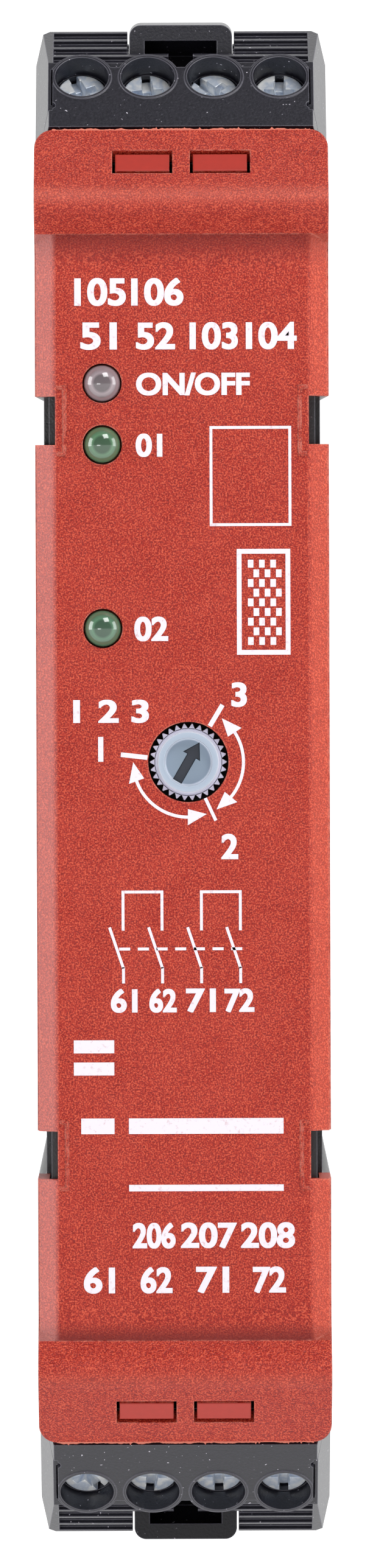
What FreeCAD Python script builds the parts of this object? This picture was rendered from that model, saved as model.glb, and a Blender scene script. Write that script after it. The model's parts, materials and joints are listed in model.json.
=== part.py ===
import FreeCAD
import Part
import math
import os

# Safety relay in a slim moulded housing for a 35 mm rail. Four plugs, two at each end, carry the
# screw terminals. Frame: X across the width, Y from the front (-Y) to the wall, Z up. The origin is
# the middle of the face that sits on the rail.

# ---- driving dimensions: mm, and degrees for angles ---------------------------------------------
width = 22.5             # across the device
seat_to_crest = 110.0    # rail seat to the crests of the front cover
hook_reach = 3.6         # rail hooks behind the rail seat
body_height = 104.0      # housing over its top and bottom walls
slope = 42.0             # cover ends and plug faces, measured from the front plane

# housing
shell = 1.4              # side walls
wall = 1.8               # top, bottom, rear and pocket walls
rear_set_back = 1.5      # rear wall in front of the rail seat
rear_corner = 4.0        # chamfer of the rear corners
shoulder_run = 1.4       # slope from the rear pocket's ledge to the top wall
vent_width = 1.8
vent_pitch = 4.2
vent_length = 15.0
vent_start = 64.0        # depth of the first vent
vent_count = 8
boss_radius = 2.4
boss_foot_radius = 3.3
boss_pin_radius = 1.0
boss_pin_length = 4.0
boss_pin_play = 0.05
boss_depths = (66.0, 98.0)
boss_inset = 7.0         # from the top and bottom walls

# rail, its hook and its foot
rail_height = 35.0
rail_thickness = 1.0
rail_play = 0.25         # above and below the rail edges
hook_overlap = 1.8       # how far the hooks reach over the rail edges
hook_thickness = 6.2
seat_relief = 0.6
foot_width = 11.0
foot_wing_width = 9.6
foot_stem_width = 6.4
foot_wing_thickness = 3.2
foot_neck = 2.0          # housing lips that hold the wings
foot_wing_length = 19.0
foot_travel = 3.5
foot_tab = 3.0           # tab below the bottom wall
foot_bar_reach = 2.2
foot_play = 0.15
spring_length = 9.0
spring_wire = 0.5
spring_folds = 4

# front cover
lip_z = 50.45            # lips of the cover next to the plugs
lip_depth = 4.6
crest_radius = 1.4
ramp_foot = 8.05         # lip to the line where the ramps of the crests meet the label field
foot_depth = 1.75
label_run = 2.8          # over which the label field comes level
label_depth = 1.6
cover_wall = 1.3
skirt_wall = 0.9
skirt_depth = 9.0
cover_fit = 0.15
corner_radius = 1.4
label_chamfer = 1.6
label_chamfer_depth = 0.8
side_relief = 0.12
notch_width = 1.55
notch_height = 3.7
notch_z = 28.15
notch_rim = 0.6
notch_rim_width = 0.2
notch_rim_height = 0.15
channel_sink = 0.6       # channels in the side walls behind the notches
channel_end = 62.0       # depth where they end
window_width = 4.6       # four windows over the snap tongues
window_length = 2.4
window_x = 2.97
window_from_lip = 3.4
tongue_width = 4.15
tongue_length = 1.76
tongue_sink = 0.12
tongue_reach = 5.0
tongue_play = 0.3
tongue_bridge = 1.4

# indicators and selector
led_diameter = 2.9
led_hole_play = 0.05
led_from_side = 5.15
led_z = (31.0, 26.3, 12.25)
led_proud = 0.8
led_flange = 0.3
led_flange_height = 1.0
knob_x = 0.4
knob_z = 2.0
knob_diameter = 5.9
knob_hole_play = 0.13
knob_teeth = 24
knob_tooth_depth = 0.24
knob_ring_radius = 2.32
knob_ring_height = 0.3
knob_recess_radius = 1.8
knob_recess_depth = 0.6
knob_head_height = 2.8
knob_stem_radius = 1.2
knob_stem_length = 3.6
knob_stem_play = 0.05
knob_rest_angle = 30.0   # pointer, clockwise from straight up
arrow_reach = 1.72
arrow_shaft = 0.76
arrow_head_width = 1.4
arrow_head_length = 1.15
arrow_depth = 0.7
switch_size = 9.0
switch_gap = 0.3         # knob head over the switch body

# plugs: u runs up the slope from the cover's lip, n out of the slope
poles = 4
pole_side = 1.09         # side of the plug beyond the shares of the poles
plug_gap = 0.55          # between the plug and the cover or pocket wall
plug_sink = 0.2          # screw face below the cover's slope
plug_height = 12.9       # along u
plug_depth = 17.5        # along n
plug_chamfer = 1.1
plug_taper_depth = 5.5    # over which the sides narrow to the screw face
ramp_start = 7.15
ramp_drop = 2.45
rib_count = 4
rib_ridge = 0.32
rib_depth = 0.32
rib_end = 0.3
cap_thickness = 1.8
cap_proud = 0.35
cap_side = 1.38          # side of the plug beyond the cap plate
cap_seam = 0.12
cap_valley = 6.33
cap_ear = 1.75
cap_ear_depth = 3.2
cap_key_radius = 0.34
cap_key_u = 2.3
screw_u = 5.25
well_radius = 2.07
lobe_radius = 2.45
well_collar = 0.22
pocket_ledge = 3.16      # housing between a plug and the next pocket, along u
floor_gap = 0.3          # plug over the pocket floor

# terminals inside a plug
screw_head_radius = 1.9
screw_head_height = 1.6
screw_sink = 1.7
screw_shank_radius = 1.2
screw_length = 5.6
screw_slot = 0.8
screw_slot_depth = 0.9
screw_cross = 2.0
screw_turns = (24.0, 62.0, -35.0, 0.0)
cage_width = 4.0
cage_length = 5.0
cage_top = 4.7
cage_height = 7.6
cage_wall = 0.8
cage_window = 4.0
cage_play = 0.15
tongue_plate = 0.6
wire_width = 3.0
wire_height = 3.2
wire_n = -9.8
wire_funnel = 0.35
sleeve_outer = 2.2
sleeve_bore = 1.25
sleeve_play = 0.1
pin_width = 1.0
pin_play = 0.2
pin_end_gap = 0.2        # pin tip to the closed end of its sleeve
header_length = 7.0
header_height = 4.0
header_side_gap = 0.55    # header to the side walls
tail_step = 1.5

# release lever of a plug
lever_half_width = 3.98
lever_leg = 1.18
lever_bar = 1.2
lever_back_wall = 0.8
lever_corner = 0.9
lever_play = 0.15
lever_front_u = 11.5
lever_front_n = -0.67
lever_back_u = 13.95
lever_back_n = -2.89
lever_low_u = 9.6
lever_low_n = -2.35
lever_foot_n = -7.1
lever_web_n = -5.2
lever_pivot_u = 11.5
lever_pivot_n = -6.1
lever_pin_radius = 0.75
lever_pin_play = 0.05
lever_pin_length = 0.9
lever_tail_width = 1.2
lever_tail_thickness = 1.15
lever_tail_gap = 1.2      # tail end over the pocket floor
lever_hook = 0.75
lever_hook_height = 1.0
lever_swing = 8.0
lever_swing_play = 0.25
lever_under_play = 0.35  # room under the legs and beside the middle gap
lever_heel = 1.2         # legs inward of the pivot
lever_shoulder = 0.6     # back edge of the legs over the tail
catch_gap = 0.25
catch_width = 3.2
catch_lip = 0.6

# boards and parts inside
board_thickness = 1.6
board_x = -7.0           # underside of the main board
board_margin = 0.5
front_board_half_height = 38.0
front_board_margin = 0.25
relay_depth = 38.0
relay_height = 20.0
relay_top_gap = 0.8
relay_flange = 0.6
relay_flange_height = 1.2
relay_start = 60.5
relay_z = 12.0
transformer_depth = 20.0
transformer_height = 18.0
transformer_core = 9.0
transformer_start = 26.0
transformer_z = 12.5
capacitor_radius = 4.0
capacitor_length = 12.0
capacitor_places = ((32.0, -8.0), (32.0, -18.0), (50.0, -27.0))
chip_places = ((54.0, 24.0), (54.0, 12.0), (54.0, 0.0), (54.0, -12.0))
chip_size = 7.0
chip_height = 2.2
chip_lead = 0.9
absorber_radius = 4.5
absorber_thickness = 3.6
absorber_depth = 66.0
absorber_from_boss = 12.0
fuse_length = 10.0
fuse_radius = 2.0
fuse_cap_length = 2.2
fuse_cap_extra = 0.25
fuse_depth = 66.0
fuse_from_boss = 12.0
link_height = 16.0
link_width = 3.0
link_length = 8.0

# ---- worked out from the sizes above -------------------------------------------------------------
half = width / 2.0
pole_pitch = (width - 2 * pole_side) / poles
led_x = led_from_side - half
cap_half_width = half - cap_side
header_half_width = half - shell - header_side_gap
SIN = math.sin(math.radians(slope))
COS = math.cos(math.radians(slope))
rear_y = -rear_set_back
top_z = body_height / 2.0
rail_edge = rail_height / 2.0 + rail_play
hook_low = rail_height / 2.0 - hook_overlap
hook_gap_y = rail_thickness + rail_play
seat_half = hook_low - rail_play
floor_n = -(plug_depth + floor_gap)
header_n = floor_n - wall
lever_tail_end = floor_n + lever_tail_gap
level_u = plug_height + pocket_ledge
level_pitch = level_u / SIN
boss_z = top_z - boss_inset
cage_low = -cage_top - cage_height
sleeve_top = cage_low - tongue_plate
shroud_half = half - skirt_wall - cover_fit
shroud_back = skirt_depth + wall
front_board_depth = shroud_back
foot_z = lip_z - ramp_foot
label_z = foot_z - label_run
knob_back = label_depth + knob_head_height
switch_front = knob_back + switch_gap
board_top = board_x + board_thickness
parts_top = half - shell - relay_top_gap
pole_x = [(i - (poles - 1) / 2.0) * pole_pitch for i in range(poles)]
ENDS = ("top", "bottom")
LEVELS = ("front", "rear")


# ---- shapes ---------------------------------------------------------------------------------------
def vec(x, y, z):
    return FreeCAD.Vector(x, y, z)


def y_at(depth):
    """Y of a depth measured back from the crests."""
    return depth - seat_to_crest


def box(x0, x1, y0, y1, z0, z1):
    return Part.makeBox(x1 - x0, y1 - y0, z1 - z0, vec(x0, y0, z0))


def rod(x, y, z, radius, length, direction):
    return Part.makeCylinder(radius, length, vec(x, y, z), direction)


def closed_wire(steps):
    """Closed wire in the YZ plane. A step is (y, z), or (mid_y, mid_z, y, z) for an arc to its end."""
    edges = []
    last = vec(0, steps[0][-2], steps[0][-1])
    for step in steps[1:] + steps[:1]:
        end = vec(0, step[-2], step[-1])
        if len(step) == 4:
            edges.append(Part.Arc(last, vec(0, step[0], step[1]), end).toShape())
        else:
            edges.append(Part.LineSegment(last, end).toShape())
        last = end
    return Part.Wire(edges)


def prism(steps, x0, x1):
    """Solid of a YZ outline between two widths. The outline is a list of steps or a face."""
    face = steps if isinstance(steps, Part.Face) else Part.Face(closed_wire(steps))
    solid = face.extrude(vec(x1 - x0, 0, 0))
    solid.translate(vec(x0, 0, 0))
    return solid


def inset(face, distance):
    """Face moved in from its outline, with sharp corners."""
    return Part.Face(face.makeOffset2D(-distance, 2).OuterWire)


def joined(shapes):
    return shapes[0].multiFuse(shapes[1:]).removeSplitter()


def cut_from(shape, tools):
    return shape.cut(Part.makeCompound(tools)).removeSplitter()


def at_slope(u, n, level=0):
    """Point (y, z) of the upper plug frame at u up the slope and n out of it."""
    y = y_at(lip_depth + plug_gap * SIN + plug_sink * COS) + level * level_pitch + u * SIN - n * COS
    z = lip_z + plug_gap * COS - plug_sink * SIN + u * COS + n * SIN
    return y, z


def placed(shape, origin, end):
    """Turn a shape from a frame (x, u, n) on the slope into the device, at its upper or lower end."""
    copy = shape.copy()
    copy.rotate(vec(0, 0, 0), vec(1, 0, 0), 90.0 - slope)
    copy.translate(vec(0, origin[0], origin[1]))
    if end == "bottom":
        copy.rotate(vec(0, 0, 0), vec(0, 1, 0), 180.0)
    return copy


def to_plug(shape, end, level):
    """Take a shape from the plug frame (x, u, n) to its end and level of the device."""
    return placed(shape, at_slope(0.0, 0.0, LEVELS.index(level)), end)


def everywhere(shape):
    """The same shape at all four plug places."""
    return [to_plug(shape, end, level) for end in ENDS for level in LEVELS]


# ---- front cover ----------------------------------------------------------------------------------
def crest_points():
    """Apex, arc ends and arc middle of the upper crest, as (depth, z)."""
    centre_z = lip_z - (lip_depth * COS + crest_radius * (1 - COS)) / SIN
    outer = math.radians(slope - 90.0)
    to_foot = math.atan2(foot_depth - crest_radius, foot_z - centre_z) % (2 * math.pi)
    reach = math.hypot(foot_depth - crest_radius, foot_z - centre_z)
    inner = to_foot + math.acos(crest_radius / reach) - 2 * math.pi
    middle = (outer + inner) / 2.0

    def point(angle, radius):
        return crest_radius + radius * math.sin(angle), centre_z + radius * math.cos(angle)

    apex = point(middle, crest_radius / math.cos((outer - inner) / 2.0))
    return apex, point(outer, crest_radius), point(middle, crest_radius), point(inner, crest_radius)


def cover_face(back, rounded):
    """Side outline of the cover, closed at the given depth."""
    apex, outer, middle, inner = crest_points()
    end_z = lip_z - (back - lip_depth) * SIN / COS
    if rounded:
        upper = [(y_at(outer[0]), outer[1]), (y_at(middle[0]), middle[1], y_at(inner[0]), inner[1])]
        lower = [(y_at(inner[0]), -inner[1]), (y_at(middle[0]), -middle[1], y_at(outer[0]), -outer[1])]
    else:
        upper = [(y_at(apex[0]), apex[1])]
        lower = [(y_at(apex[0]), -apex[1])]
    field = [(y_at(foot_depth), foot_z), (y_at(label_depth), label_z),
             (y_at(label_depth), -label_z), (y_at(foot_depth), -foot_z)]
    ends = [(y_at(lip_depth), -lip_z), (y_at(back), -end_z), (y_at(back), end_z), (y_at(lip_depth), lip_z)]
    return Part.Face(closed_wire(upper + field + lower + ends))


def inside_cover(distance, back):
    """Outline that lies the given distance inside the cover's and ends at the given depth."""
    return inset(cover_face(back + distance, False), distance)


def rounded_plate():
    """Front view of the cover with its four rounded corners, through its whole depth."""
    plate = box(-half, half, y_at(-1.0), y_at(skirt_depth), -lip_z, lip_z)
    corners = [edge for edge in plate.Edges
               if abs(edge.BoundBox.XLength) < 1e-6 and abs(edge.BoundBox.ZLength) < 1e-6]
    return plate.makeFillet(corner_radius, corners)


def label_chamfers():
    """Tools for the chamfered sides of the label field, run out along the ramps of the crests."""
    inner = crest_points()[3]
    run = (foot_z - inner[1]) / (foot_depth - inner[0])
    deep = label_depth + label_chamfer_depth * 2
    deep_z = foot_z + (deep - foot_depth) * run
    zone = prism([(y_at(-1.0), foot_z - (foot_depth + 1.0) * run), (y_at(deep), deep_z),
                  (y_at(deep), -deep_z), (y_at(-1.0), -foot_z + (foot_depth + 1.0) * run)],
                 -width, width)
    tools = []
    for side in (-1, 1):
        edge = side * half
        rise = label_chamfer_depth / label_chamfer
        corners = [vec(edge - side * label_chamfer - side / rise, y_at(label_depth) - 1.0, 0),
                   vec(edge + side, y_at(label_depth) - 1.0, 0),
                   vec(edge + side, y_at(label_depth + label_chamfer_depth) + rise, 0)]
        wedge = Part.Face(Part.makePolygon(corners + corners[:1])).extrude(vec(0, 0, 2 * lip_z))
        wedge.translate(vec(0, 0, -lip_z))
        tools.append(wedge.common(zone))
        tools.append(box(min(edge - side * side_relief, edge + side), max(edge - side * side_relief, edge + side),
                         y_at(0.0), y_at(deep), -foot_z, foot_z).common(zone))
    return tools


def notch_tool(side, z, grow, y0, y1):
    """Box over a side notch of the cover, grown by a margin."""
    inner = side * (half - notch_width - grow)
    outer = side * (half + 1.0)
    return box(min(inner, outer), max(inner, outer), y0, y1,
               z - notch_height / 2.0 - grow, z + notch_height / 2.0 + grow)


def notch_rims():
    rims = []
    inner_edge = half - side_relief - label_chamfer
    for side in (-1, 1):
        for z in (-notch_z, notch_z):
            low, high = y_at(label_depth - notch_rim_height), y_at(label_depth + cover_wall / 2.0)
            ring = notch_tool(side, z, notch_rim + notch_rim_width, low, high)
            ring = ring.cut(notch_tool(side, z, notch_rim, low - 1.0, high + 1.0))
            rims.append(ring.common(box(-inner_edge, inner_edge, low, high, -lip_z, lip_z)))
    return rims


def cover_frame(shape, end):
    """Take a shape from the frame (x, u, n) at the cover's lip to the upper or lower end."""
    return placed(shape, (y_at(lip_depth), lip_z), end)


def snap_tongue(x, grow):
    """Snap tongue behind a window, with the bridge that joins it to the end wall."""
    w, middle = tongue_width / 2.0 + grow, -window_from_lip
    low, high = middle - tongue_length / 2.0 - grow, middle + tongue_length / 2.0 + grow
    finger = box(x - w, x + w, low, high, -tongue_reach - grow, -tongue_sink + grow)
    bridge = box(x - w, x + w, middle, -cover_wall / 2.0, -tongue_reach - grow,
                 -tongue_reach + tongue_bridge + grow)
    return finger.fuse(bridge)


def snap_tongues(grow):
    return [cover_frame(snap_tongue(x, grow), end) for x in (-window_x, window_x) for end in ENDS]


def front_cover():
    outer = prism(cover_face(skirt_depth, True), -half, half).common(rounded_plate())
    inner = prism(inside_cover(cover_wall, skirt_depth), -half + skirt_wall, half - skirt_wall)
    tools = [inner] + label_chamfers()
    for end in ENDS:
        for x in (-window_x, window_x):
            middle = -window_from_lip
            window = box(x - window_width / 2.0, x + window_width / 2.0, middle - window_length / 2.0,
                         middle + window_length / 2.0, -cover_wall * 1.5, 1.0)
            tools.append(cover_frame(window, end))
    for side in (-1, 1):
        for z in (-notch_z, notch_z):
            tools.append(notch_tool(side, z, 0.0, y_at(0.0), y_at(skirt_depth + 1.0)))
    for z in led_z:
        tools.append(rod(led_x, y_at(0.0), z, led_diameter / 2.0 + led_hole_play,
                         label_depth + 2 * cover_wall, vec(0, 1, 0)))
    tools.append(rod(knob_x, y_at(0.0), knob_z, knob_diameter / 2.0 + knob_hole_play,
                     label_depth + 2 * cover_wall, vec(0, 1, 0)))
    return joined([cut_from(outer, tools)] + notch_rims() + snap_tongues(0.0))


# ---- housing --------------------------------------------------------------------------------------
def housing_face():
    """Side outline of the housing behind the cover, with the fixed rail hook and the rail seat."""
    start_z = lip_z - (skirt_depth - lip_depth) * SIN / COS
    pocket_u = -plug_gap
    ledge = at_slope(level_u - plug_gap, floor_n)
    rear_ledge = at_slope(level_u - plug_gap, floor_n, 1)
    front = [(y_at(skirt_depth), start_z), at_slope(pocket_u, floor_n), ledge,
             at_slope(pocket_u, floor_n, 1), rear_ledge, (rear_ledge[0] + shoulder_run, top_z)]
    rear = [(rear_y - rear_corner, top_z), (rear_y, top_z - rear_corner)]
    hook_top = rail_edge + hook_thickness
    hook = [(rear_y, hook_top), (hook_reach - seat_relief, hook_top),
            (hook_reach, hook_top - seat_relief * 2), (hook_reach, hook_low + seat_relief),
            (hook_reach - seat_relief, hook_low), (hook_gap_y, hook_low), (hook_gap_y, rail_edge),
            (-seat_relief, rail_edge)]
    seat = [(-seat_relief, seat_half), (0.0, seat_half), (0.0, -seat_half), (-seat_relief, -seat_half),
            (-seat_relief, -rail_edge), (rear_y, -rail_edge)]
    lower = [(y, -z) for y, z in reversed(front + rear)]
    return Part.Face(closed_wire(front + rear + hook + seat + lower))


def foot_wing_low():
    return -rail_edge - foot_play - foot_wing_length


def spring_seat_z():
    return foot_wing_low() - spring_length


def channel_block():
    """Thick part of the rear wall that holds the foot's channel."""
    deep = rear_y - foot_neck - foot_wing_thickness - 2 * foot_play - wall
    return box(-foot_wing_width / 2.0 - wall, foot_wing_width / 2.0 + wall, deep, rear_y,
               spring_seat_z() - wall, -rail_edge + wall)


def channel_tools():
    """T-slot for the wings and stem of the foot."""
    wing_half = foot_wing_width / 2.0 + foot_play
    stem_half = foot_stem_width / 2.0 + foot_play
    back = rear_y - foot_neck
    deep = back - foot_wing_thickness - 2 * foot_play
    wings = box(-wing_half, wing_half, deep, back, spring_seat_z(), -rail_edge)
    stem = box(-stem_half, stem_half, back, 1.0, foot_wing_low() - foot_travel - foot_play, -rail_edge)
    return [wings, stem]


def side_channels():
    """Channels in the side walls that run back from the notches of the cover."""
    channels = []
    for side in (-1, 1):
        x0, x1 = sorted((side * (half - channel_sink), side * (half + 1.0)))
        for z in (-notch_z, notch_z):
            channels.append(box(x0, x1, y_at(skirt_depth - 1.0), y_at(channel_end), z - notch_height / 2.0,
                                z + notch_height / 2.0))
    return channels


def vent_tools():
    tools = []
    for i in range(vent_count):
        y = y_at(vent_start + i * vent_pitch)
        for z in (-top_z, top_z):
            tools.append(box(-vent_length / 2.0, vent_length / 2.0, y, y + vent_width, z - wall * 1.5, z + wall * 1.5))
    return tools


def pin_slots():
    """Square openings for the pins in the four pocket floors."""
    grow = pin_width / 2.0 + pin_play
    slots = [box(x - grow, x + grow, screw_u - grow, screw_u + grow, floor_n - wall * 1.5, floor_n + 1.0)
             for x in pole_x]
    return everywhere(Part.makeCompound(slots))


def lever_catch():
    """Block on a pocket floor whose lip stands over the hook of the release lever."""
    start = lever_tail_u()[1] + lever_hook + catch_gap
    lip_low = lever_tail_end + lever_hook_height + catch_gap
    block = box(-catch_width / 2.0, catch_width / 2.0, start, level_u - plug_gap, floor_n - wall / 2.0,
                lip_low + catch_lip)
    recess = box(-catch_width, catch_width, start - 1.0, start + lever_hook, floor_n + catch_lip, lip_low)
    return block.cut(recess)


def boss_places():
    return [(y_at(depth), z) for depth in boss_depths for z in (-boss_z, boss_z)]


def housing_bosses():
    bosses = []
    for y, z in boss_places():
        bosses.append(rod(-half + shell / 2.0, y, z, boss_foot_radius, board_x + half - shell / 2.0, vec(1, 0, 0)))
        bosses.append(rod(-half + shell / 2.0, y, z, boss_radius, width - shell * 1.5, vec(1, 0, 0)))
    return bosses


def side_wall(outline_shroud, outline_body):
    """Right-hand side wall, stepped in where the cover's skirt lies over it."""
    front = prism(outline_shroud, shroud_half - shell, shroud_half)
    body = prism(outline_body, half - shell, half)
    return joined([front, body])


def housing_side_cover():
    plate = side_wall(inside_cover(cover_wall + cover_fit, shroud_back), housing_face())
    pins = [rod(half - shell / 2.0 - boss_pin_length, y, z, boss_pin_radius, boss_pin_length, vec(1, 0, 0))
            for y, z in boss_places()]
    return cut_from(joined([plate] + pins), side_channels())


def housing_tub():
    shroud_face = inside_cover(cover_wall + cover_fit, shroud_back)
    body_face = housing_face()
    shroud = prism(shroud_face, -shroud_half, shroud_half)
    body = prism(body_face, -half, half - shell)
    open_half = shroud_half - shell
    shroud_room = prism(inside_cover(cover_wall + cover_fit + shell, shroud_back), -open_half, half)
    window = box(-open_half, half, y_at(0.0), y_at(shroud_back), -front_board_half_height,
                 front_board_half_height)
    body_room = prism(inset(body_face, wall), -half + shell, half)
    room = cut_from(body_room, [channel_block()])
    tub = cut_from(joined([shroud, body]), [shroud_room, window, room])
    tub = joined([tub] + everywhere(lever_catch()) + [b.common(body) for b in housing_bosses()])
    tub = joined([tub, channel_block().common(body)])
    tools = channel_tools() + vent_tools() + side_channels() + pin_slots() + snap_tongues(tongue_play)
    tools += [rod(half - shell * 1.5 - boss_pin_length, y, z, boss_pin_radius + boss_pin_play,
                  boss_pin_length + shell, vec(1, 0, 0)) for y, z in boss_places()]
    return cut_from(tub, tools + [side_wall(shroud_face, body_face)])


# ---- foot -----------------------------------------------------------------------------------------
def rail_foot():
    back = rear_y - foot_neck
    top = -rail_edge - foot_play
    wings = box(-foot_wing_width / 2.0, foot_wing_width / 2.0, back - foot_wing_thickness - foot_play,
                back - foot_play, foot_wing_low(), top)
    stem = box(-foot_stem_width / 2.0, foot_stem_width / 2.0, back - foot_play - 0.5,
               rear_y + foot_play + 0.5, foot_wing_low(), top)
    low = -top_z - foot_tab
    bar = [(rear_y + foot_play, top), (hook_gap_y, top), (hook_gap_y, -hook_low),
           (hook_reach - seat_relief, -hook_low), (hook_reach, -hook_low - seat_relief),
           (hook_reach, top - hook_thickness / 2.0), (foot_bar_reach, top - hook_thickness),
           (foot_bar_reach, low), (rear_y + foot_play, low)]
    bar = prism(bar, -foot_width / 2.0, foot_width / 2.0)
    slot = box(-foot_stem_width / 2.0, foot_stem_width / 2.0, rear_y, hook_reach, low + foot_tab / 3.0,
               low + foot_tab * 0.8)
    return cut_from(joined([wings, stem, bar]), [slot])


def foot_spring():
    """Folded steel strip between the foot's wings and the end of the channel."""
    reach = foot_wing_width / 2.0 - foot_play
    low, high = spring_seat_z(), foot_wing_low()
    rise = (high - low - spring_wire) / spring_folds
    strips = []
    for i in range(spring_folds):
        z = low + i * rise
        side = 1 if i % 2 else -1
        leg = [vec(-side * reach, 0, z), vec(-side * reach, 0, z + spring_wire),
               vec(side * reach, 0, z + rise + spring_wire), vec(side * reach, 0, z + rise)]
        strips.append(Part.Face(Part.makePolygon(leg + leg[:1])).extrude(vec(0, foot_wing_thickness * 0.75, 0)))
    spring = joined(strips)
    spring.translate(vec(0, rear_y - foot_neck - foot_play - foot_wing_thickness, 0))
    return spring


# ---- selector and indicators ----------------------------------------------------------------------
def selector_knob():
    """Built looking back along +Y with the pointer straight up, then turned to its rest angle."""
    front = y_at(label_depth)
    outer = knob_diameter / 2.0
    corners = []
    for i in range(knob_teeth):
        tip = 2 * math.pi * i / knob_teeth
        for share, radius in ((-0.12, outer), (0.12, outer), (0.38, outer - knob_tooth_depth),
                              (0.62, outer - knob_tooth_depth)):
            angle = tip + share * 2 * math.pi / knob_teeth
            corners.append(vec(radius * math.sin(angle), front + knob_ring_height, radius * math.cos(angle)))
    teeth = Part.Face(Part.makePolygon(corners + corners[:1])).extrude(
        vec(0, knob_head_height - knob_ring_height, 0))
    ring = rod(0, front, 0, knob_ring_radius, knob_head_height, vec(0, 1, 0))
    stem = rod(0, front + knob_head_height, 0, knob_stem_radius, knob_stem_length, vec(0, 1, 0))
    recess = rod(0, front - 1.0, 0, knob_recess_radius, 1.0 + knob_recess_depth, vec(0, 1, 0))
    shaft, neck = arrow_shaft / 2.0, arrow_reach - arrow_head_length
    arrow = [(-shaft, -arrow_reach), (-shaft, neck), (-arrow_head_width / 2.0, neck), (0, arrow_reach),
             (arrow_head_width / 2.0, neck), (shaft, neck), (shaft, -arrow_reach)]
    points = [vec(x, front, z) for x, z in arrow]
    pointer = Part.Face(Part.makePolygon(points + points[:1])).extrude(
        vec(0, knob_recess_depth + arrow_depth, 0))
    knob = cut_from(joined([teeth, ring, stem]), [recess, pointer])
    knob.rotate(vec(0, 0, 0), vec(0, 1, 0), knob_rest_angle)
    knob.translate(vec(knob_x, 0, knob_z))
    return knob


def selector_switch():
    size = switch_size / 2.0
    body = box(knob_x - size, knob_x + size, y_at(switch_front), y_at(front_board_depth),
               knob_z - size, knob_z + size)
    bore = rod(knob_x, y_at(switch_front) - 1.0, knob_z, knob_stem_radius + knob_stem_play,
               1.0 + knob_stem_length, vec(0, 1, 0))
    return body.cut(bore)


def led(z):
    radius = led_diameter / 2.0
    tip = y_at(label_depth - led_proud)
    base = y_at(front_board_depth)
    lens = rod(led_x, tip + radius, z, radius, base - tip - radius, vec(0, 1, 0))
    dome = Part.makeSphere(radius, vec(led_x, tip + radius, z))
    flange = rod(led_x, base - led_flange_height, z, radius + led_flange, led_flange_height, vec(0, 1, 0))
    return joined([lens, dome, flange])


# ---- plugs: shapes in the plug frame (x, u, n) ----------------------------------------------------
def plug_outline():
    return [(0.0, -plug_depth), (0.0, -cap_proud), (ramp_start, -cap_proud),
            (plug_height, -cap_proud - ramp_drop), (plug_height, -plug_depth)]


def plug_block(outline):
    """Block of a plug, with sides that narrow to the screw face and chamfers down its wire face."""
    block = prism(outline, -half, half)
    tip = half - plug_chamfer
    low = -plug_depth - 1.0
    flare = [(-half, low), (-half, -plug_taper_depth), (-tip, 0.0), (-tip, 1.0), (tip, 1.0), (tip, 0.0),
             (half, -plug_taper_depth), (half, low)]
    flare = [vec(x, -1.0, n) for x, n in flare]
    flare = Part.Face(Part.makePolygon(flare + flare[:1])).extrude(vec(0, plug_height + 2.0, 0))

    def on_side(edge):
        span = edge.BoundBox
        middle = span.Center
        return span.XLength < 1e-6 and abs(middle.y - plug_height) < 1e-3

    return block.makeChamfer(plug_chamfer, [edge for edge in block.Edges if on_side(edge)]).common(flare)


def cap_zone(grow):
    """Space of the scalloped screw face: plate, lobes and the ears over the side chamfers."""
    low = -cap_thickness - grow
    reach = cap_half_width + grow
    plate = box(-reach, reach, -1.0, cap_valley + grow, low, 1.0)
    lobes = [rod(x, screw_u, low, lobe_radius + grow, 1.0 - low, vec(0, 0, 1)) for x in pole_x]
    zone = joined([plate] + lobes)
    zone = zone.common(box(-reach, reach, -1.0, plug_height, low, 1.0))
    keys = [rod(side * (cap_half_width + cap_key_radius / 3.0), cap_key_u, low - 1.0,
                cap_key_radius - grow / 3.0, cap_thickness * 2, vec(0, 0, 1)) for side in (-1, 1)]
    zone = cut_from(zone, keys)
    deep = -cap_ear_depth - grow
    wide = cap_ear + grow
    ear = [(-1.0, 1.0), (-1.0, deep), (0.0, deep), (wide * 0.77, deep * 0.55, wide, 0.0), (wide, 1.0)]
    ears = [prism(ear, -half - 1.0, -cap_half_width + 0.1), prism(ear, cap_half_width - 0.1, half + 1.0)]
    return joined([zone] + ears)


def screw_wells(radius, depth):
    return [rod(x, screw_u, -depth, radius, depth + 1.0, vec(0, 0, 1)) for x in pole_x]


def plug_cap():
    block = plug_block([(0.0, -plug_depth), (0.0, 0.0), (plug_height, 0.0), (plug_height, -plug_depth)])
    zone = cap_zone(0.0)
    collars = [rod(x, screw_u, -cap_thickness, well_radius + well_collar, cap_thickness + well_collar / 3.0,
                   vec(0, 0, 1)) for x in pole_x]
    plate = joined([block.common(zone)] + [collar.common(zone) for collar in collars])
    return cut_from(plate, screw_wells(well_radius, cap_thickness + 1.0))


def rib_tools():
    """Grooves across the ramp, which leave narrow ridges to grip."""
    run, fall = plug_height - ramp_start, -ramp_drop
    length = math.hypot(run, fall)
    along, out = (run / length, fall / length), (-fall / length, run / length)
    pitch = length / rib_count
    inner = half - plug_chamfer - rib_end

    def point(s, t):
        return (ramp_start + along[0] * s + out[0] * t, -cap_proud + along[1] * s + out[1] * t)

    tools = []
    for i in range(rib_count):
        s = i * pitch
        groove = [point(s, 1.0), point(s, 0.0), point(s + rib_depth / 2.0, -rib_depth),
                  point(s + pitch - rib_ridge, -rib_depth), point(s + pitch - rib_ridge, 1.0)]
        tools.append(prism(groove, -inner, inner))
    return tools


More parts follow.
